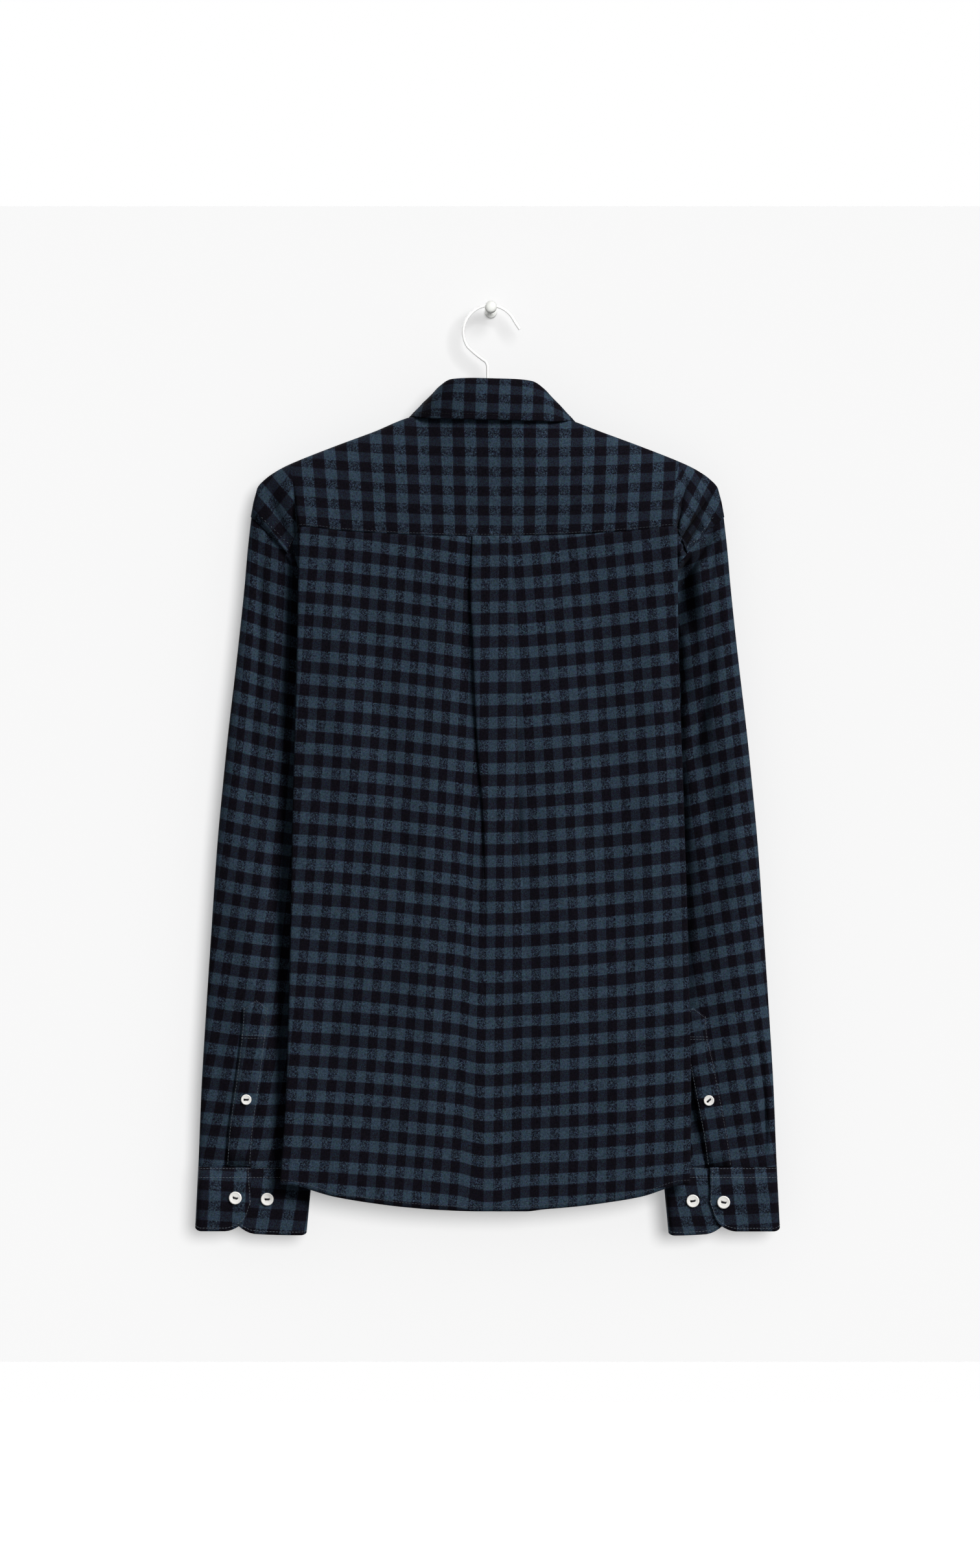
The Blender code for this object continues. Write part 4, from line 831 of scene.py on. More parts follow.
def laid_out(net, start, way=1):
    """Across places of a net's points with its rows laid flat, from the column start."""
    run = along_rows(net)
    return net[:, start, 0][:, None] + way * (run - run[:, start][:, None])


def back_counts(net):
    """Checks of the back, whose three parts meet in the pleat's folds and blend where it opens."""
    x, z = net[..., 0], net[..., 2]
    near, last = sum(SIDE_SPANS), net.shape[1] - 1
    column = np.arange(last + 1)
    opened = lower(z, PLEAT_OPENS_Z, PLEAT_OPENS_OVER)
    counts = checks(BACK_LEFT, np.where(column < near, laid_out(net, near), x), z)
    right_x = np.where(column > last - near, laid_out(net, last - near), x)
    for kind, across, edge, turned in (
        (BACK_BOX, x, PLEAT_X - PLEAT_HALF, column > TURN_COLUMN),
        (BACK_RIGHT, right_x, PLEAT_X + PLEAT_HALF, column >= last - TURN_COLUMN),
    ):
        share = smooth_step((x - edge + PLEAT_SOFT) / (2 * PLEAT_SOFT))
        share = turned * (1 - opened) + share * opened
        counts = blend(counts, checks(kind, across, z), share[..., None])
    return counts


def yoke_counts(net, turned_over=False):
    """Checks of the yoke, with what lies past the shoulder laid out flat. Its ends lie askew."""
    x, z = net[..., 0], net[..., 2]
    if turned_over:
        return checks(ON_YOKE, x, z[0] + down_columns(net))
    counts = checks(ON_YOKE, x, z)
    for side, name in SIDES.items():
        askew = side * x > np.interp(-z, SHOULDER_CREASE["below"], SHOULDER_CREASE[name])
        counts = np.where(askew[..., None], checks(ON_SHOULDER[side], x, z), counts)
    return counts


# ---------------- soft folds

# Each fold is a ridge (high > 0) or trough (high < 0) along a line from one place to
# another, across from the hanger's middle and in height, with its half width on either side.
FOLD_COLUMNS = "from_x from_z to_x to_z high wide wide_right"
FOLD_TAPER = 0.8  # how bluntly the folds end
BACK_FOLDS = table(
    FOLD_COLUMNS,
    (-150, -250, -112, -520, 2.7, 16, 24), (-120, -235, -70, -540, -2.2, 18, 12),
    (-80, -486, -60, -562, -3.2, 9, 7), (-60, -420, -50, -820, 2.4, 20, 14),
    (28, -340, 29, -520, -2, 3.5, 2.5), (62, -300, 84, -760, 2.2, 22, 14),
    (110, -240, 104, -600, -2.1, 16, 20), (160, -250, 150, -700, 2.5, 14, 9),
    (-140, -560, -150, -830, -2.2, 18, 14), (20, -610, 14, -835, -2.1, 14, 20),
    (120, -640, 132, -835, 2.4, 16, 12), (28.7, -452, 29.5, -538, -2.2, 2.8, 4),
)
FRONT_FOLDS = table(
    FOLD_COLUMNS,
    (-120, -215, -60, -480, 1.8, 14, 22), (-90, -470, -100, -800, -1.7, 18, 12),
    (-140, -300, -146, -640, -1.6, 12, 16), (110, -220, 66, -460, 1.8, 18, 12),
    (80, -520, 92, -800, 1.7, 14, 20), (142, -330, 138, -700, -1.7, 15, 12),
)
YOKE_FOLDS = table(
    FOLD_COLUMNS,
    (170, -221, 212, -158, 3, 2.4, 2.4), (173, -224, 214, -164, -6.5, 1.5, 1.5),
    (176, -224, 218, -171, 3, 2, 2), (177, -226, 220, -177, -7, 1.5, 1.5),
    (181, -227, 223, -184, 3, 2, 2), (181, -231, 225, -191, -6.5, 1.4, 1.4),
    (168, -240, 187, -150, -6.5, 2, 2.2), (-181, -155, -174, -240, -3.6, 3.6, 1.8),
    (-196, -158, -186, -205, 1.3, 7, 7), (-214, -190, -182, -232, 1.6, 2.6, 2.6),
    (-206, -172, -180, -222, -1.6, 4, 4),
)
FLAP_FOLDS = table(  # on the back's turned-in sides, by the armholes
    FOLD_COLUMNS,
    (-183, -216, -179, -290, -7, 9, 9), (173, -219, 191, -248, 5, 3, 3),
    (179, -214, 195, -244, -7, 1.6, 1.6), (173, -226, 186, -252, -5, 1.6, 1.6),
    (180, -236, 177, -330, -8, 9, 9),
)
SLEEVE_FOLDS = {
    (LEFT, BACK): table(
        FOLD_COLUMNS,
        (-178, -190, -188, -420, -8.5, 6, 30), (-182, -330, -194, -705, -8.5, 9.5, 30),
        (-190, -600, -198, -810, -5, 4, 30), (-208, -690, -219, -782, -3, 2.5, 2.5),
        (-211, -215, -214, -375, -4.6, 5.5, 6), (-214, -335, -222, -520, -4.2, 6, 7),
        (-234, -300, -243, -500, 1.4, 9, 12), (-206, -450, -184, -640, -3.6, 8, 4),
        (-228, -520, -212, -690, 1.8, 10, 8), (-246, -600, -252, -780, -1.4, 8, 8),
    ),
    (RIGHT, BACK): table(
        FOLD_COLUMNS,
        (172, -190, 180, -430, -8, 30, 13), (175.5, -215, 181, -520, -11, 30, 3.6),
        (177, -330, 187, -640, -8, 30, 17), (181, -420, 188, -640, -7, 30, 3.2),
        (182, -560, 194, -800, -4, 30, 4.5), (238, -230, 256, -800, 4.8, 42, 12),
        (184, -230, 200, -800, -4.6, 30, 34), (178, -205, 198, -345, -5, 6, 7),
        (222, -192, 209, -280, 4, 3.4, 1.5), (212, -204, 178, -264, -9, 3, 4),
        (181, -222, 184, -310, -8, 6, 7), (196, -225, 204, -290, 2.6, 4, 4),
        (216, -262, 200, -378, -5.4, 8, 6), (206, -352, 190, -430, -5, 7, 6),
        (236, -366, 199, -500, -3.4, 11, 8), (244, -470, 204, -640, 2.2, 12, 9),
        (250, -660, 261, -775, -5.5, 2.6, 2.6), (259, -725, 257, -812, -5, 2.6, 2.6),
        (252, -690, 254, -800, 2, 5, 3), (226, -600, 236, -790, 1.3, 12, 9),
    ),
    (LEFT, FRONT): table(
        FOLD_COLUMNS,
        (-190, -230, -214, -380, -3, 9, 6), (-226, -350, -190, -560, 1.8, 12, 8),
        (-240, -540, -214, -720, -1.9, 10, 7),
    ),
    (RIGHT, FRONT): table(
        FOLD_COLUMNS,
        (192, -235, 212, -370, -3.2, 6, 9), (230, -330, 188, -520, 1.8, 8, 12),
        (242, -520, 218, -700, -1.9, 8, 10),
    ),
}


def fold_lift(folds, net):
    """How far the folds lift each point of a net."""
    x, z = net[..., 0], net[..., 2]
    lift = np.zeros_like(x)
    for ax, az, bx, bz, high, wide, wide_right in zip(*folds.values()):
        way = np.array([bx - ax, bz - az])
        length = np.hypot(*way)
        way /= length
        along = ((x - ax) * way[0] + (z - az) * way[1]) / length
        aside = (z - az) * way[0] - (x - ax) * way[1]
        taper = np.sin(np.pi * np.clip(along, 0.0, 1.0)) ** FOLD_TAPER
        lift += high * taper * bell(aside, np.where(aside > 0, wide_right, wide))
    return lift


def ripple(net, size, seed):
    """A smooth uneven value from -1 to 1 at each point, over about so many millimetres."""
    flat = net.reshape(-1, 3)
    found = [noise.noise(Vector((x / size, y / size + seed, z / size))) for x, y, z in flat]
    return np.array(found).reshape(net.shape[:-1])


def pucker(net, distance, reach, high, seed):
    """Small waves beside a seam, which fade out within reach of it."""
    return high * ripple(net * (1.0, 1.0, 0.25), 7.0, seed) * bell(distance, reach)


# ---------------- materials


class Nodes:
    """A material's node tree, built from the top down."""

    def __init__(self, name):
        self.material = bpy.data.materials.new(name)
        self.material.use_nodes = True
        self.tree = self.material.node_tree
        self.shader = self.tree.nodes["Principled BSDF"]

    def add(self, kind, settings=None, **inputs):
        node = self.tree.nodes.new("ShaderNode" + kind)
        for key, value in (settings or {}).items():
            setattr(node, key, value)
        self.fill(node, **inputs)
        return node

    def fill(self, node, **inputs):
        """Sets or links inputs by name, or by number as in i0."""
        for key, value in inputs.items():
            socket = node.inputs[int(key[1:]) if key[1:].isdigit() else key.replace("_", " ")]
            if isinstance(value, bpy.types.NodeSocket):
                self.tree.links.new(value, socket)
            else:
                socket.default_value = value

    def look(self, **inputs):
        self.fill(self.shader, **inputs)

    def math(self, what, a, b=0.0, clamp=False):
        return self.add("Math", {"operation": what, "use_clamp": clamp}, i0=a, i1=b).outputs[0]

    def plus(self, a, b, clamp=False):
        return self.math("ADD", a, b, clamp)

    def times(self, a, b):
        return self.math("MULTIPLY", a, b)

    def noise(self, at, scale, detail, rough=0.5, output="Fac"):
        sizes = {"Scale": scale, "Detail": detail, "Roughness": rough}
        return self.add("TexNoise", {"noise_dimensions": "3D"}, Vector=at, **sizes).outputs[output]

    def centred(self, value, size=1.0):
        """A noise value about 0 instead of about a half."""
        return self.times(self.math("SUBTRACT", value, 0.5), size)

    def vector(self, what, a, **other):
        return self.add("VectorMath", {"operation": what}, i0=a, **other).outputs["Vector"]

    def bump(self, height, distance, strength=1.0):
        node = self.add("Bump", None, Height=height, Distance=distance, Strength=strength)
        self.look(Normal=node.outputs["Normal"])


WHITE = (1.0, 1.0, 1.0, 1.0)
DARK_YARN = (0.0044, 0.0038, 0.0064, 1.0)
MIXED_YARN = (0.0102, 0.0117, 0.0206, 1.0)
LIGHT_YARN = (0.0275, 0.0450, 0.0660, 1.0)
TWILL = 0.8  # mm between the diagonal lines of the weave
TWILL_SHARE = 0.22  # how strongly they show where a light and a dark stripe cross
WEFT_SHARE = 0.57  # how much more of the weft than of the warp its face shows
SPECKLE = 3.0  # and how strongly the brushed yarns speckle there
UNEVEN_YARN = (1.5, 2.2)  # how unevenly they took the dye, in tufts and in hairs
UNEVEN_HUE = 0.8
STRIPE_EDGE = (0.225, 0.275)  # from full light to full dark, in cycles from a stripe's middle
STRIPE_DRIFT, STRIPE_NAP = 0.05, 0.10  # how far the stripes' edges wander, in cycles
TWILL_HEIGHT, NAP_HEIGHT, NAP_BUMP = 0.35, 1.4, 0.00012


def stripe(cloth, count):
    """1 on the light yarns, whose middles are at whole counts, and 0 on the dark ones."""
    away = cloth.math("ABSOLUTE", cloth.math("SUBTRACT", cloth.math("FRACT", cloth.plus(count, 0.5)), 0.5))
    low, high = STRIPE_EDGE
    ends = {"From_Min": low, "From_Max": high, "To_Min": 1.0, "To_Max": 0.0}
    return cloth.add("MapRange", {"interpolation_type": "SMOOTHSTEP"}, Value=away, **ends).outputs[0]


def flannel_material():
    cloth = Nodes("brushed_gingham")
    place = cloth.add("TexCoord").outputs["Object"]
    at = cloth.add("UVMap", {"uv_map": "checks"}).outputs["UV"]
    split = cloth.add("SeparateXYZ", None, i0=at)
    across, down = split.outputs["X"], split.outputs["Y"]
    drift = cloth.centred(cloth.noise(place, scale=45.0, detail=1.0), STRIPE_DRIFT)
    small = cloth.centred(cloth.noise(place, scale=640.0, detail=1.0, rough=0.6))
    nap = cloth.centred(cloth.noise(place, scale=1500.0, detail=2.0, rough=0.7))
    shift = cloth.plus(drift, cloth.times(nap, STRIPE_NAP))
    warp, weft = (stripe(cloth, cloth.plus(count, shift)) for count in (across, down))
    turns = (2 * math.pi * size / TWILL for size in (CHECK_ACROSS, CHECK_DOWN))
    wave = cloth.math("SINE", cloth.plus(*(cloth.times(*pair) for pair in zip((across, down), turns))))
    speck = cloth.plus(cloth.times(nap, SPECKLE), cloth.times(small, SPECKLE / 2))
    share = cloth.plus(cloth.plus(cloth.times(wave, TWILL_SHARE), WEFT_SHARE), speck, clamp=True)
    over = cloth.add("Mix", {"data_type": "FLOAT"}, i0=share, i2=warp, i3=weft)
    ramp = cloth.add("ValToRGB", None, Fac=over.outputs[0])
    stops = ramp.color_ramp.elements
    stops[0].color, stops[1].color = DARK_YARN, LIGHT_YARN
    stops.new(0.5).color = MIXED_YARN
    tufts, hairs = (cloth.times(value, size) for value, size in zip((small, nap), UNEVEN_YARN))
    mottled = cloth.plus(cloth.plus(tufts, hairs), 1.0 - UNEVEN_HUE / 2)
    hue = cloth.noise(place, scale=800.0, detail=1.0, output="Color")
    hue = cloth.vector("SCALE", hue, Scale=UNEVEN_HUE)
    grey = cloth.add("CombineXYZ", None, i0=mottled, i1=mottled, i2=mottled).outputs[0]
    shade = cloth.vector("MULTIPLY", ramp.outputs["Color"], i1=cloth.vector("ADD", hue, i1=grey))
    height = cloth.plus(cloth.times(wave, TWILL_HEIGHT), cloth.times(nap, NAP_HEIGHT))
    cloth.bump(height, NAP_BUMP, strength=0.7)
    cloth.look(Base_Color=shade, Roughness=0.92, Specular_IOR_Level=0.03)
    cloth.look(Sheen_Weight=0.012, Sheen_Roughness=0.5)
    return cloth.material


def plain_material(name, colour, roughness, grain, depth, spread=0.06, glow=0.0):
    """An even paint, thread or pearl, whose colour, roughness and height vary a little in grains."""
    made = Nodes(name)
    uneven = made.noise(made.add("TexCoord").outputs["Object"], grain, 4.0, 0.6)
    low = tuple(c * (1 - spread) for c in colour) + (1.0,)
    high = tuple(min(c * (1 + spread), 1.0) for c in colour) + (1.0,)
    mixed = made.add("Mix", {"data_type": "RGBA"}, Factor=uneven, i6=low, i7=high).outputs[2]
    made.look(Base_Color=mixed, Roughness=made.plus(made.times(uneven, 0.2), roughness - 0.1))
    if glow:
        made.look(Emission_Color=WHITE, Emission_Strength=glow)
    made.bump(uneven, depth)
    return made.material


# ---------------- making pieces


def in_room(points):
    """Points about the hanger's middle, in metres in the part's own frame."""
    return (np.asarray(points, float).reshape(-1, 3) + (HANGER_X, 0.0, 0.0)) * MM


def new_object(name, data):
    made = bpy.data.objects.new(name, data)
    bpy.context.scene.collection.objects.link(made)
    return made


def mesh_of(work, name):
    """A smoothly shaded mesh from a bmesh, which is freed."""
    mesh = bpy.data.meshes.new(name)
    work.to_mesh(mesh)
    work.free()
    mesh.shade_smooth()
    return mesh


def new_piece(name, mesh, material, replaced=()):
    """An object of the scene that rides with the shirt."""
    piece = new_object(name, mesh)
    mesh.materials.append(material)
    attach(piece, "root")
    if replaced:
        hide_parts(*replaced)
    return piece


def cloth_piece(name, node, nets, wall, closed=False):
    """A piece of cloth from nets and their check counts, which follow how it was cut and hangs."""
    work = bmesh.new()
    layer = work.loops.layers.uv.new("checks")
    for net, counts in nets:
        rows, columns = net.shape[:2]
        corners = [work.verts.new(p) for p in in_room(net)]
        for i in range(rows - 1):
            for j in range(columns if closed else columns - 1):
                spots = [(i, j), (i, j + 1), (i + 1, j + 1), (i + 1, j)]
                face = work.faces.new([corners[r * columns + c % columns] for r, c in spots])
                for loop, spot in zip(face.loops, spots):
                    loop[layer].uv = counts[spot]
    bmesh.ops.remove_doubles(work, verts=work.verts, dist=MERGE)
    bmesh.ops.recalc_face_normals(work, faces=work.faces)
    piece = new_piece(name, mesh_of(work, name), FLANNEL, [node])
    thick = piece.modifiers.new("wall", "SOLIDIFY")
    thick.thickness = wall * MM
    thick.offset = 0.0


# ---------------- stitches

DASH, DASH_PITCH = 2.1, 3.0  # mm
DASH_WIDE, DASH_HIGH, DASH_LOW = 0.55, 0.3, 0.12
DASH_SLOPE = 0.3  # a stitch's top is this much shorter at either end
DASH_START = 0.3  # a line's first stitch starts here
EDGE_SEWN = 1.6  # from a piece's edge to the stitches along it
ARMHOLE_SEWN = 7.5
HEM_SEWN = 4.2
WIDE_SEWN = 5.0  # on the collar leaf and the front placket
ARMHOLE_PART = (0.004, UNDERARM_ROW - 0.01)  # share of the side edge that is armhole
TACK_PART = (0.05, 0.95)

# Lines of stitches: edge of the piece, distance from it, and the part of the edge
FRONT_SEWN = (("bottom", HEM_SEWN, (0.0, 0.9)), ("left", ARMHOLE_SEWN, ARMHOLE_PART))
BACK_SEWN = (
    ("bottom", HEM_SEWN), ("left", ARMHOLE_SEWN, ARMHOLE_PART), ("right", ARMHOLE_SEWN, ARMHOLE_PART)
)
SEAM_SEWN = (("bottom", EDGE_SEWN, (0.04, 0.96)),)
ENDS_SEWN = (("left", ARMHOLE_SEWN, (0.3, 1.0)), ("right", ARMHOLE_SEWN, (0.3, 1.0)))
PLACKET_SEWN = (
    ("left", EDGE_SEWN), ("right", EDGE_SEWN), ("top", EDGE_SEWN),
    ("bottom", 120.0, TACK_PART), ("bottom", 122.5, TACK_PART),
)
CUFF_SEWN = (
    ("top", 1.4), ("top", 9.8), ("bottom", 3.0), ("left", 2.8, (0.0, 0.9)), ("right", 2.8, (0.0, 0.9))
)
LEAF_SEWN = (("bottom", WIDE_SEWN), ("left", WIDE_SEWN), ("right", WIDE_SEWN))
FRONT_PLACKET_SEWN = (("left", WIDE_SEWN), ("right", WIDE_SEWN))


def facing(net, at, way):
    """The way out of a net at each point, which is towards way (-1 or 1) along Y at one place."""
    out = np.cross(np.gradient(net, axis=1), np.gradient(net, axis=0))
    out /= np.linalg.norm(out, axis=-1, keepdims=True) + 1e-12
    return out if out[at][1] * way > 0 else -out


def from_edge(net, edge):
    """The net turned so that its rows run from one of its edges."""
    if edge in ("top", "bottom"):
        return net if edge == "top" else net[::-1]
    return (net if edge == "left" else net[:, ::-1]).transpose(1, 0, 2)


def below_edge(net, edge="top"):
    """How far each point of a net is from its top or bottom edge, along the net."""
    run = down_columns(from_edge(net, edge))
    return run if edge == "top" else run[::-1]


def read_line(run, values, at):
    """The columns of values, given along a line, read at places of its run."""
    return np.stack([np.interp(at, run, column) for column in values.T], -1)


def line_on(net, out, wall, edge, distance, part=(0.0, 1.0)):
    """Places on a net's outer face at a distance from one of its edges, each with the way out."""
    both = from_edge(np.concatenate([net, out], axis=-1), edge)
    run = down_columns(both)
    first, last = (int(round(share * (both.shape[1] - 1))) for share in part)
    line = np.array([read_line(run[:, k], both[:, k], distance) for k in range(first, last + 1)])
    line[:, :3] += line[:, 3:] * wall / 2
    return line


def sew(name, lines, material=None, pitch=DASH_PITCH, dash=DASH, wide=DASH_WIDE):
    """Short raised stitches along lines of places, each with the way out."""
    points, faces = [], []
    for line in lines:
        place, out = line[:, :3], line[:, 3:]
        run = run_along(place)
        starts = np.arange(DASH_START, run[-1] - dash, pitch)
        up = read_line(run, out, starts + dash / 2)
        up /= np.linalg.norm(up, axis=1, keepdims=True)
        for a, b, n in zip(read_line(run, place, starts), read_line(run, place, starts + dash), up):
            way = (b - a) / np.linalg.norm(b - a)
            side = np.cross(n, way) * wide / 2
            low, top = -DASH_LOW * n, DASH_HIGH * n
            k = len(points)
            points += [a - side + low, a + side + low, b + side + low, b - side + low]
            points += [a + DASH_SLOPE * way + top, b - DASH_SLOPE * way + top]
            faces += [(k, k + 1, k + 4), (k + 1, k + 2, k + 5, k + 4), (k + 2, k + 3, k + 5)]
            faces += [(k + 3, k, k + 4, k + 5), (k + 3, k + 2, k + 1, k)]
    mesh = bpy.data.meshes.new(name)
    mesh.from_pydata(in_room(points).tolist(), [], faces)
    return new_piece(name, mesh, material or THREAD)


def sew_along(name, net, wall, at, way, edges, **kind):
    """Stitches beside edges of a net: each an edge, the distance from it, and the part of it."""
    out = facing(net, at, way)
    return sew(name, [line_on(net, out, wall, *edge) for edge in edges], **kind)


# ---------------- the pieces of the shirt

MERGE = 2e-5  # metres within which the points of joined nets become one
BACK_ROWS, FRONT_ROWS = 158, 132
YOKE_ROWS, YOKE_FRONT_ROWS = 84, 14
YOKE_CROWDS, YOKE_FRONT_CROWDS = 1.2, 1.3  # powers that bring their rows closer at the shoulder
SLEEVE_ROWS, SLEEVE_AROUND = 166, 96
PANEL_SHORT = 0.0004  # share of its length that a panel stops short of its top seam
YOKE_LAPS = 0.0045  # share of its length by which the yoke's turned edge laps over the back
YOKE_FRONT_SHORT = 0.66 / 40  # and by which its front stops short of its seam
PLEAT_OPENS_Z, PLEAT_OPENS_OVER = -440.0, 60.0
PLEAT_SOFT = 14.0  # half the width over which the checks blend where the pleat is open
BACK_HALF, FRONT_HALF, YOKE_HALF = 178.0, 172.0, 214.0  # creases have died away out there
FLAP_FROM, FLAP_OVER = 175.5, 2.5  # where the back's turned-in sides begin
EDGE_SINKS = 0.3  # how far the back's top edge is drawn in by its seam
EDGE_RISES = 0.15  # and the yoke's turned edge stands up
BACK_RIPPLE, FRONT_RIPPLE, YOKE_RIPPLE, SLEEVE_RIPPLE, CUFF_RIPPLE = 1.1, 1.2, 0.5, 0.9, 0.35
FLAT_FROM = 7.0  # a sleeve's creases are full this far from its middle plane
ALLOWANCE = 7.0  # how far the sleeve's ends go on under the body and into the cuff
TUCKED_DEPTH, IN_CUFF_DEPTH = 0.8, 0.6  # how deep they are there, as shares of the seam's depth
IN_CUFF_NARROWS = 2.0


def build_back():
    net = np.array([back_row(v) for v in spaced(BACK_ROWS, PANEL_SHORT)])
    counts = back_counts(net)
    x, z = net[..., 0], net[..., 2]
    from_seam = below_edge(net)
    inside = within(x, BACK_HALF, over=22.0) * lower(z, -216.0, over=30.0)
    lift = fold_lift(BACK_FOLDS, net) + BACK_RIPPLE * ripple(net, size=60.0, seed=3.0)
    sewn = pucker(net, from_seam, reach=16.0, high=0.5, seed=5.0) - EDGE_SINKS * bell(from_seam, 4.0)
    hem = pucker(net, below_edge(net, "bottom"), reach=14.0, high=0.5, seed=8.0)
    net[..., 1] -= lift * inside + (sewn + hem) * within(x, BACK_HALF, over=8.0)
    flap = smooth_step((np.abs(x) - FLAP_FROM) / FLAP_OVER) * lower(z, -150.0, over=50.0)
    on_back = smooth_step((MID_Y - 3.0 - net[..., 1]) / 6.0)
    net[..., 1] -= fold_lift(FLAP_FOLDS, net) * flap * on_back
    stitches = sew_along("back_stitches", net, WALL, (BACK_ROWS // 2, net.shape[1] // 3), BACK, BACK_SEWN)
    cloth_piece("back_cloth", "back", [(net, counts)], WALL)


def build_fronts():
    start = sum(SIDE_SPANS)
    for side, name in ((LEFT, "front_left"), (RIGHT, "front_right")):
        shares = spaced(FRONT_ROWS, PANEL_SHORT)
        net = np.array([through(front_points(side, v), FRONT_SPANS) for v in shares])
        x, z = net[..., 0], net[..., 2]
        counts = checks(ON_FRONT, laid_out(net, start, -side), z)
        inside = within(x, FRONT_HALF, over=25.0) * lower(z, -200.0, over=40.0)
        inside *= smooth_step((np.abs(x - COLLAR_X) - OVERLAP) / 14.0)
        lift = FRONT_RIPPLE * ripple(net, size=60.0, seed=7.0 + side) + fold_lift(FRONT_FOLDS, net)
        net[..., 1] += lift * inside
        flat = (FRONT_ROWS // 2, start + 12)
        stitches = sew_along(name + "_stitches", net, WALL, flat, FRONT, FRONT_SEWN)
        cloth_piece(name + "_cloth", name, [(net, counts)], WALL)


def build_yoke():
    shares = spaced(YOKE_ROWS) ** YOKE_CROWDS * (1.0 + YOKE_LAPS)
    back = np.array([yoke_back_row(t) for t in shares])
    nets = [(back, yoke_counts(back))]
    for side in SIDES:
        shares = spaced(YOKE_FRONT_ROWS) ** YOKE_FRONT_CROWDS * (1.0 - YOKE_FRONT_SHORT)
        front = np.array([yoke_front_row(side, t) for t in shares])
        nets.append((front, yoke_counts(front, True)))
    from_seam, from_ridge = below_edge(back, "bottom"), below_edge(back)
    inside = within(back[..., 0], YOKE_HALF, over=8.0) * smooth_step(from_ridge / 25.0)
    lift = fold_lift(YOKE_FOLDS, back) + YOKE_RIPPLE * ripple(back, size=45.0, seed=11.0)
    turned_edge = EDGE_RISES * smooth_step((9.0 - from_seam) / 3.0)
    turned_edge += pucker(back, from_seam, reach=12.0, high=0.35, seed=6.0)
    back[..., 1] -= (lift + turned_edge) * inside
    outside = (back, WALL, (YOKE_ROWS // 2, back.shape[1] // 2), BACK)
    sewn = [sew_along("yoke_stitches", *outside, SEAM_SEWN)]
    kind = {"material": LIGHT_THREAD, "pitch": 4.2, "dash": 1.6, "wide": 0.45}
    sewn.append(sew_along("armhole_stitches", *outside, ENDS_SEWN, **kind))
    cloth_piece("yoke_cloth", "yoke", nets, WALL)


def build_sleeves():
    for side, name in SIDES.items():
        rings = np.array([
            sleeve_ring(side, row, SLEEVE_AROUND) for row in spaced(SLEEVE_ROWS, 0.0, SLEEVE["row"][-1])
        ])
        closed = np.concatenate([rings, rings[:, :1]], axis=1)
        counts = checks(ON_SLEEVE[side], laid_out(closed, SLEEVE_AROUND // 4, -side), closed[..., 2])
        for face in (BACK, FRONT):
            lift = fold_lift(SLEEVE_FOLDS[side, face], rings)
            lift += SLEEVE_RIPPLE * ripple(rings, size=42.0, seed=20.0 + side)
            flat = np.clip((rings[..., 1] - MID_Y) * face / FLAT_FROM, 0.0, 1.0)
            ends = smooth_step((rings[..., 2] - SIDE_SEAM_HEM_Z) / 14.0)
            ends = np.minimum(ends, smooth_step(below_edge(rings) / 5.0))
            rings[..., 1] += face * lift * flat * ends
            gathers = pucker(rings, below_edge(rings, "bottom"), reach=20.0, high=0.7, seed=9.0)
            gathers += pucker(rings, below_edge(rings), reach=18.0, high=0.8, seed=4.0)
            rings[..., 1] += face * gathers * flat
        tucked = rings[0] * (1, 0, 1) + (-side * ALLOWANCE, 0, 0)
        tucked[:, 1] = MID_Y + (rings[0, :, 1] - MID_Y) * TUCKED_DEPTH
        in_cuff = rings[-1] - (0, 0, ALLOWANCE)
        in_cuff[:, 1] = MID_Y + (rings[-1, :, 1] - MID_Y) * IN_CUFF_DEPTH
        turns = np.linspace(0.0, 2 * np.pi, SLEEVE_AROUND, endpoint=False)
        in_cuff[:, 0] -= side * IN_CUFF_NARROWS * np.cos(turns)
        rings = np.concatenate([tucked[None], rings, in_cuff[None]])
        counts = np.concatenate([counts[:1], counts, counts[-1:]])
        node = "sleeve_" + name
        cloth_piece("sleeve_cloth_" + name, node, [(rings, counts)], WALL, closed=True)
        build_placket(side, name)
        build_cuff(side, name)


def build_placket(side, name):
    net = placket_net(side)
    net[..., 1] -= np.maximum(fold_lift(SLEEVE_FOLDS[side, BACK], net), 0.0)
    nets = [(net, checks(ON_SLEEVE[side], net[..., 0], net[..., 2]))]
    node = "sleeve_placket_" + name
    kind = {"material": LIGHT_THREAD, "wide": 0.4}
    stitches = sew_along(node + "_stitches", net, PLACKET_WALL, (5, 2), BACK, PLACKET_SEWN, **kind)
    cloth_piece("placket_cloth_" + name, node, nets, PLACKET_WALL)


def build_cuff(side, name):
    net = cuff_net(side)
    counts = checks(ON_CUFF[side], laid_out(net, 0, side), net[..., 2])
    net[..., 1] += CUFF_RIPPLE * ripple(net, size=14.0, seed=31.0 + side)
    kind = {"material": LIGHT_THREAD, "wide": 0.5}
    stitches = sew_along(f"cuff_{name}_stitches", net, CUFF_WALL, (2, 3), BACK, CUFF_SEWN, **kind)
    cloth_piece("cuff_cloth_" + name, "cuff_" + name, [(net, counts)], CUFF_WALL)


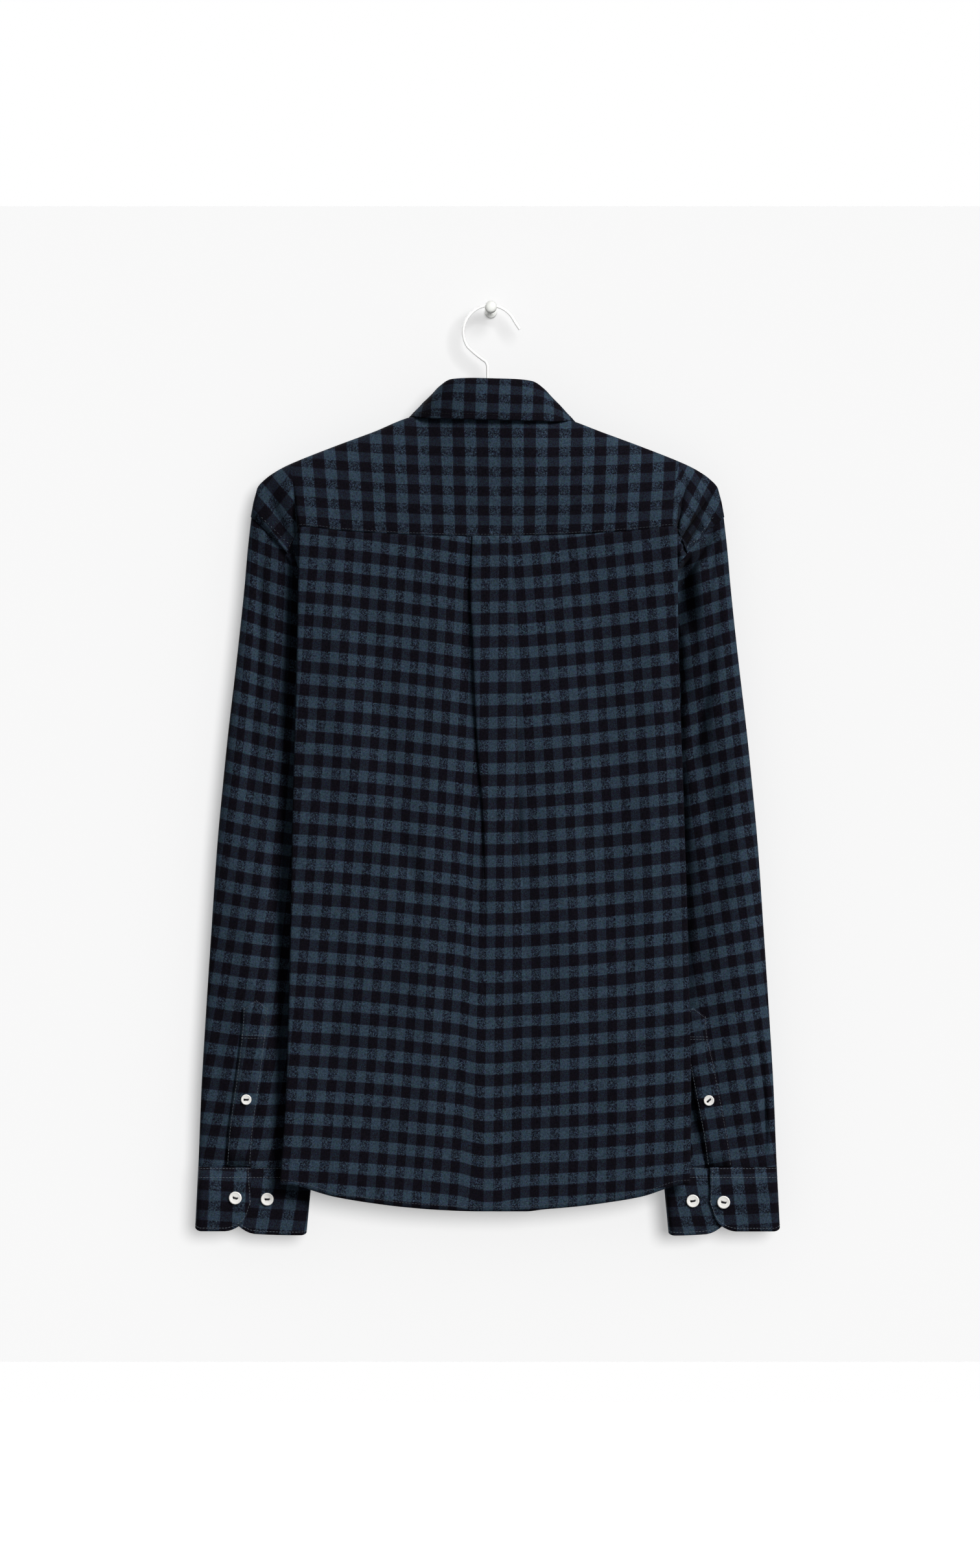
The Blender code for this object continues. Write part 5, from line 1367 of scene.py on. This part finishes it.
def build_collar():
    band = band_net()
    nets = [(band, checks(ON_COLLAR, -laid_out(band, band.shape[1] // 2), band[..., 2]))]
    cloth_piece("collar_band_cloth", "collar_band", nets, BAND_WALL)
    leaf = leaf_net()
    middle = leaf.shape[1] // 2
    drop = below_edge(leaf)
    counts = checks(ON_COLLAR, laid_out(leaf, middle), leaf[3, middle, 2] - (drop - drop[3]))
    kind = {"material": DARK_THREAD, "wide": 0.35}
    stitches = sew_along("collar_leaf_stitches", leaf, BAND_WALL, (6, middle), BACK, LEAF_SEWN, **kind)
    nets = [(leaf, counts)]
    cloth_piece("collar_leaf_cloth", "collar_leaf", nets, BAND_WALL)


def build_front_placket():
    rows = []
    for v in spaced(FRONT_ROWS):
        row = []
        for part in spaced(9, -1.0, 1.0):
            across = COLLAR_X + part * FRONT_PLACKET_HALF
            top = blend(CENTRE_FRONT_Z, OVERLAP_Z, abs(part)) - FRONT_PLACKET_TOP_GAP
            z = blend(top, FRONT_HEM_Z + FRONT_PLACKET_HEM_GAP, v)
            depth = body_depth(across, z) + LAP_STEP + WALL / 2 + GAP + PLACKET_WALL / 2
            row.append((across, MID_Y + depth, z))
        rows.append(row)
    net = np.array(rows)
    sewn = FRONT_PLACKET_SEWN
    stitches = sew_along("front_placket_stitches", net, PLACKET_WALL, (60, 4), FRONT, sewn)
    nets = [(net, checks(ON_FRONT, net[..., 0], net[..., 2]))]
    cloth_piece("front_placket_cloth", "front_placket", nets, PLACKET_WALL)


# ---------------- buttons, peg and hanger

# A button of radius 1, turned: radius and height
FINE_BUTTON = (
    (0.0, 0.21), (0.60, 0.21), (0.72, 0.225), (0.80, 0.25), (0.90, 0.26),
    (0.97, 0.23), (1.0, 0.15), (0.98, 0.06), (0.92, 0.0), (0.0, 0.0),
)
CAD_BUTTON_HIGH = 0.24  # height of the part's own button of radius 1
BUTTON_SIDES, PEG_SIDES, HOLE_SIDES = 40, 72, 14
HOLE_OFF, HOLE_RADIUS = 1.6, 0.85  # mm
THREAD_SIZE = (4.6, 1.8, 0.9)
THREAD_ROUND = 0.25
BUTTON_TURNS = {  # degrees
    "button_sleeve_right": 42, "button_cuff_left_1": -14,
    "button_cuff_right_1": -12, "button_cuff_right_2": 8,
}


def turned(profile, sides):
    """A closed bmesh turned about Z from (radius, height) pairs that start and end on the axis."""
    work = bmesh.new()
    angles = [2 * math.pi * k / sides for k in range(sides)]
    rings = [[work.verts.new((0, 0, profile[0][1]))]]
    for radius, height in profile[1:-1]:
        rings.append([work.verts.new((radius * math.cos(a), radius * math.sin(a), height)) for a in angles])
    rings.append([work.verts.new((0, 0, profile[-1][1]))])
    for upper, under in zip(rings[:-1], rings[1:]):
        for k in range(sides):
            spots = ((upper, k), (under, k), (under, k + 1), (upper, k + 1))
            work.faces.new(list(dict.fromkeys(ring[spot % len(ring)] for ring, spot in spots)))
    bmesh.ops.recalc_face_normals(work, faces=work.faces)
    return work


def mesh_from(guide):
    """The finished mesh of an object, which is left in place."""
    graph = bpy.context.evaluated_depsgraph_get()
    return bpy.data.meshes.new_from_object(guide.evaluated_get(graph))


def drilled(solid, cutter):
    """The first mesh with the second cut out of it."""
    ends = [new_object(mesh.name, mesh) for mesh in (solid, cutter)]
    cut = ends[0].modifiers.new("holes", "BOOLEAN")
    cut.operation, cut.object, cut.solver = "DIFFERENCE", ends[1], "EXACT"
    made = mesh_from(ends[0])
    for end in ends:
        bpy.data.objects.remove(end)
    return made


def build_button(name, node):
    """A sewn button with a rim, two holes and dark thread, where its CAD solid is."""
    points = np.array([v.co for v in node.data.vertices])
    middle = (points.min(axis=0) + points.max(axis=0)) / 2
    out = np.linalg.svd(points - points.mean(axis=0))[2][-1]
    out *= math.copysign(1.0, out[1] * (middle[1] - MID_Y * MM))
    height = np.ptp((points - middle) @ out)
    radius = math.sqrt(np.linalg.norm(points - middle, axis=1).max() ** 2 - (height / 2) ** 2)
    turn = math.radians(BUTTON_TURNS.get(name, 0))
    up = np.array((0.0, 0.0, 1.0))
    along = np.cross(out, up)
    along = along / np.linalg.norm(along) * math.copysign(1.0, along[0])
    along = along * math.cos(turn) + up * math.sin(turn)
    along -= out * (along @ out)
    along /= np.linalg.norm(along)
    place = Matrix((*zip(along, np.cross(out, along), out, middle - out * height / 2), (0, 0, 0, 1)))
    scale = height / CAD_BUTTON_HIGH
    body = turned([(r * radius, h * scale) for r, h in FINE_BUTTON], BUTTON_SIDES)
    holes, thread = bmesh.new(), bmesh.new()
    bore = {"radius1": HOLE_RADIUS * MM, "radius2": HOLE_RADIUS * MM, "depth": 2 * height}
    for way in (-1, 1):
        at = Matrix.Translation((way * HOLE_OFF * MM, 0, height / 2))
        bmesh.ops.create_cone(holes, cap_ends=True, segments=HOLE_SIDES, matrix=at, **bore)
    size = Matrix.Diagonal((*(side * MM for side in THREAD_SIZE), 1.0))
    dish = Matrix.Translation((0, 0, FINE_BUTTON[0][1] * scale))
    bmesh.ops.create_cube(thread, size=1.0, matrix=dish @ size)
    bmesh.ops.bevel(thread, geom=thread.edges[:], offset=THREAD_ROUND * MM, segments=2, affect="EDGES")
    mesh = drilled(mesh_of(body, name + "_disc"), mesh_of(holes, name + "_holes"))
    mesh.transform(place)
    mesh.name = name + "_pearl"
    new_piece(name + "_pearl", mesh, PEARL, [name])
    tie = mesh_of(thread, name + "_thread")
    tie.transform(place)
    new_piece(name + "_thread", tie, DARK_THREAD)


def build_peg():
    mesh = mesh_of(turned([(radius * MM, y * MM) for radius, y in PEG_PROFILE], PEG_SIDES), "peg_turned")
    mesh.transform(Matrix.Rotation(math.radians(-90), 4, "X"))
    new_piece("peg_turned", mesh, PEG_PAINT, ["peg"])


def build_wire(name, points, radius, replaced=()):
    """A bent wire through points."""
    curve = bpy.data.curves.new(name, "CURVE")
    curve.dimensions = "3D"
    curve.bevel_depth = radius * MM
    curve.bevel_resolution = 6
    curve.use_fill_caps = True
    line = curve.splines.new("POLY")
    line.points.add(len(points) - 1)
    for spot, place in zip(line.points, in_room(points)):
        spot.co = (*place, 1.0)
    guide = new_object(name + "_guide", curve)
    mesh = mesh_from(guide)
    bpy.data.objects.remove(guide)
    new_piece(name, mesh, PAINT, replaced)


def arm_points():
    """The hanger's arms, a tube under the shoulder line from end to end."""
    half = []
    for across in np.linspace(0.0, ARM_END, 41)[1:]:
        slope = shoulder_z(across + 0.5) - shoulder_z(across - 0.5) if across > 1 else ARM_MIDDLE_SLOPE
        normal = np.array([-slope, 1.0]) / math.hypot(slope, 1.0)
        drop = ARM_NECK_DROP * max(1 - (across / ARM_NECK_HALF) ** 2, 0.0)
        level = np.array([across, shoulder_z(across) - drop])
        x, z = level - normal * (WALL / 2 + ARM_CLEARANCE + ARM_RADIUS)
        half.append((x, MID_Y, min(z, HANGER_TOP_Z)))
    middle = [(0.0, MID_Y, half[0][2])]
    return [(-x, y, z) for x, y, z in reversed(half)] + middle + half


def hook_points():
    """The hook's wire from its tip, over the peg and down the shank."""
    turns = np.radians(np.linspace(HOOK_START, HOOK_END, 64))
    ring = [HOOK_CENTRE + HOOK_RADIUS * np.array([math.cos(a), math.sin(a)]) for a in turns]
    neck = through([ring[-1], *HOOK_NECK], HOOK_NECK_SPANS)[1:]
    return [(x, MID_Y, z) for x, z in [*HOOK_TIP, *ring, *neck]]


# ---------------- room, camera and light

WALL_TOP_Z, WALL_FOOT_Z, WALL_Y, WALL_HALF = 100.0, -985.0, 0.5, 1600.0
FLOOR_Z, FLOOR_HALF, FLOOR_NEAR, FLOOR_FAR = -1260.0, 2500, -3200, 1800
WALL_GLOW = 0.31  # light that the white wall throws back whatever shades it
FLOOR_GLOW = 0.75
ROOM_LIGHT = 0.20  # even light from all round
LAMPS = {  # way to the light, strength, angle that it fills in degrees
    "wall_light": ((0.25, -1.00, 0.19), 1.95, 24.0),
    "key": ((0.53, -0.63, 0.57), 3.75, 24.0),
    "from_behind": ((-0.55, 0.75, 0.40), 2.60, 40.0),
    "from_below": ((-0.25, -0.55, -0.80), 2.20, 90.0),
}
WHITE_THINGS = ("hanger_wire", "peg_turned")  # lit as the wall is, and by what it throws back
CAMERA_PLACE = (-0.0007, -4.42, -0.4425)
SENSOR = 36.0  # mm
PICTURE_HEIGHT, PICTURE_AWAY = 1.452, 4.36  # metres that the picture shows at a distance


def flat_plane(name, corners, material):
    mesh = bpy.data.meshes.new(name)
    mesh.from_pydata([[c * MM for c in p] for p in corners], [], [(0, 1, 2, 3)])
    plane = new_object(name, mesh)
    mesh.materials.append(material)
    plane.visible_diffuse = False
    plane.visible_glossy = False
    return plane


def one_sided_wall(name, colour):
    """A wall that is seen from the front, and is clear from behind."""
    made = Nodes(name)
    made.look(Base_Color=colour, Roughness=0.95, Specular_IOR_Level=0.0)
    made.look(Emission_Color=WHITE, Emission_Strength=WALL_GLOW)
    clear = made.add("BsdfTransparent").outputs[0]
    behind = made.add("NewGeometry").outputs["Backfacing"]
    either = made.add("MixShader", None, i0=behind, i1=made.shader.outputs[0], i2=clear)
    made.fill(made.tree.nodes["Material Output"], Surface=either.outputs[0])
    return made.material


def build_room():
    ends = ((-1, WALL_FOOT_Z), (1, WALL_FOOT_Z), (1, WALL_TOP_Z), (-1, WALL_TOP_Z))
    corners = [(way * WALL_HALF, WALL_Y, z) for way, z in ends]
    wall = flat_plane("wall", corners, one_sided_wall("wall_paint", (0.80, 0.80, 0.80, 1.0)))
    wall.visible_shadow = False
    even = {"roughness": 0.8, "grain": 6.0, "depth": 0.0002, "spread": 0.02}
    floor_paint = plain_material("floor_paint", (0.86, 0.86, 0.86), glow=FLOOR_GLOW, **even)
    ends = ((-1, FLOOR_NEAR), (1, FLOOR_NEAR), (1, FLOOR_FAR), (-1, FLOOR_FAR))
    flat_plane("floor", [(way * FLOOR_HALF, y, FLOOR_Z) for way, y in ends], floor_paint)
    return wall


def build_light(wall):
    """Soft suns: two are for the wall or what is painted white, and the others for all but the wall."""
    for name, (way, energy, angle) in LAMPS.items():
        lamp = new_object(name, bpy.data.lights.new(name, "SUN"))
        lamp.data.energy = energy
        lamp.data.angle = math.radians(angle)
        lamp.location = way
        lamp.rotation_euler = Vector(way).to_track_quat("Z", "Y").to_euler()
        lit = bpy.data.collections.new(name + "_lights")
        if name != "from_below":
            lit.objects.link(wall)
        if name in ("wall_light", "from_below"):
            for thing in WHITE_THINGS:
                lit.objects.link(bpy.data.objects[thing])
        else:
            lit.collection_objects[0].light_linking.link_state = "EXCLUDE"
        lamp.light_linking.receiver_collection = lit
    world = bpy.data.worlds.new("studio")
    bpy.context.scene.world = world
    world.use_nodes = True
    nodes, links = world.node_tree.nodes, world.node_tree.links
    strength = nodes.new("ShaderNodeMapRange")
    for key, value in (("To Min", ROOM_LIGHT), ("To Max", 1.0)):
        strength.inputs[key].default_value = value
    links.new(nodes.new("ShaderNodeLightPath").outputs["Is Camera Ray"], strength.inputs["Value"])
    nodes["Background"].inputs["Color"].default_value = WHITE
    links.new(strength.outputs[0], nodes["Background"].inputs["Strength"])
    bpy.context.scene.view_settings.view_transform = "Standard"


def build_camera():
    camera = new_object("camera", bpy.data.cameras.new("camera"))
    camera.data.sensor_width = SENSOR
    camera.data.lens = SENSOR * PICTURE_AWAY / PICTURE_HEIGHT
    camera.location = CAMERA_PLACE
    camera.rotation_euler = (math.radians(90), 0.0, 0.0)
    bpy.context.scene.camera = camera


# ---------------- all of it

FLANNEL = flannel_material()
THREAD, LIGHT_THREAD, DARK_THREAD = (
    plain_material(name, colour, roughness=0.8, grain=900.0, depth=0.00004)
    for name, colour in (
        ("grey_thread", (0.045, 0.055, 0.068)),
        ("light_thread", (0.12, 0.145, 0.17)),
        ("dark_thread", (0.012, 0.011, 0.014)),
    )
)
PEARL = plain_material("pearl_button", (0.86, 0.845, 0.81), roughness=0.35, grain=300.0, depth=0.00002)
PAINT = plain_material("white_paint", (0.64, 0.64, 0.63), roughness=0.4, grain=200.0, depth=0.00003)
PEG_PAINT = plain_material(
    "peg_paint", (0.50, 0.505, 0.485), roughness=0.5, grain=900.0, depth=0.0002, spread=0.12
)
build_yoke()
build_back()
build_fronts()
build_sleeves()
build_collar()
build_front_placket()
build_peg()
for node_name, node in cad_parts.items():
    if node_name.startswith("button"):
        build_button(node_name, node)
build_wire("hanger_wire", hook_points(), WIRE_RADIUS, ["hanger"])
build_wire("hanger_arms", arm_points(), ARM_RADIUS)
build_light(build_room())
build_camera()
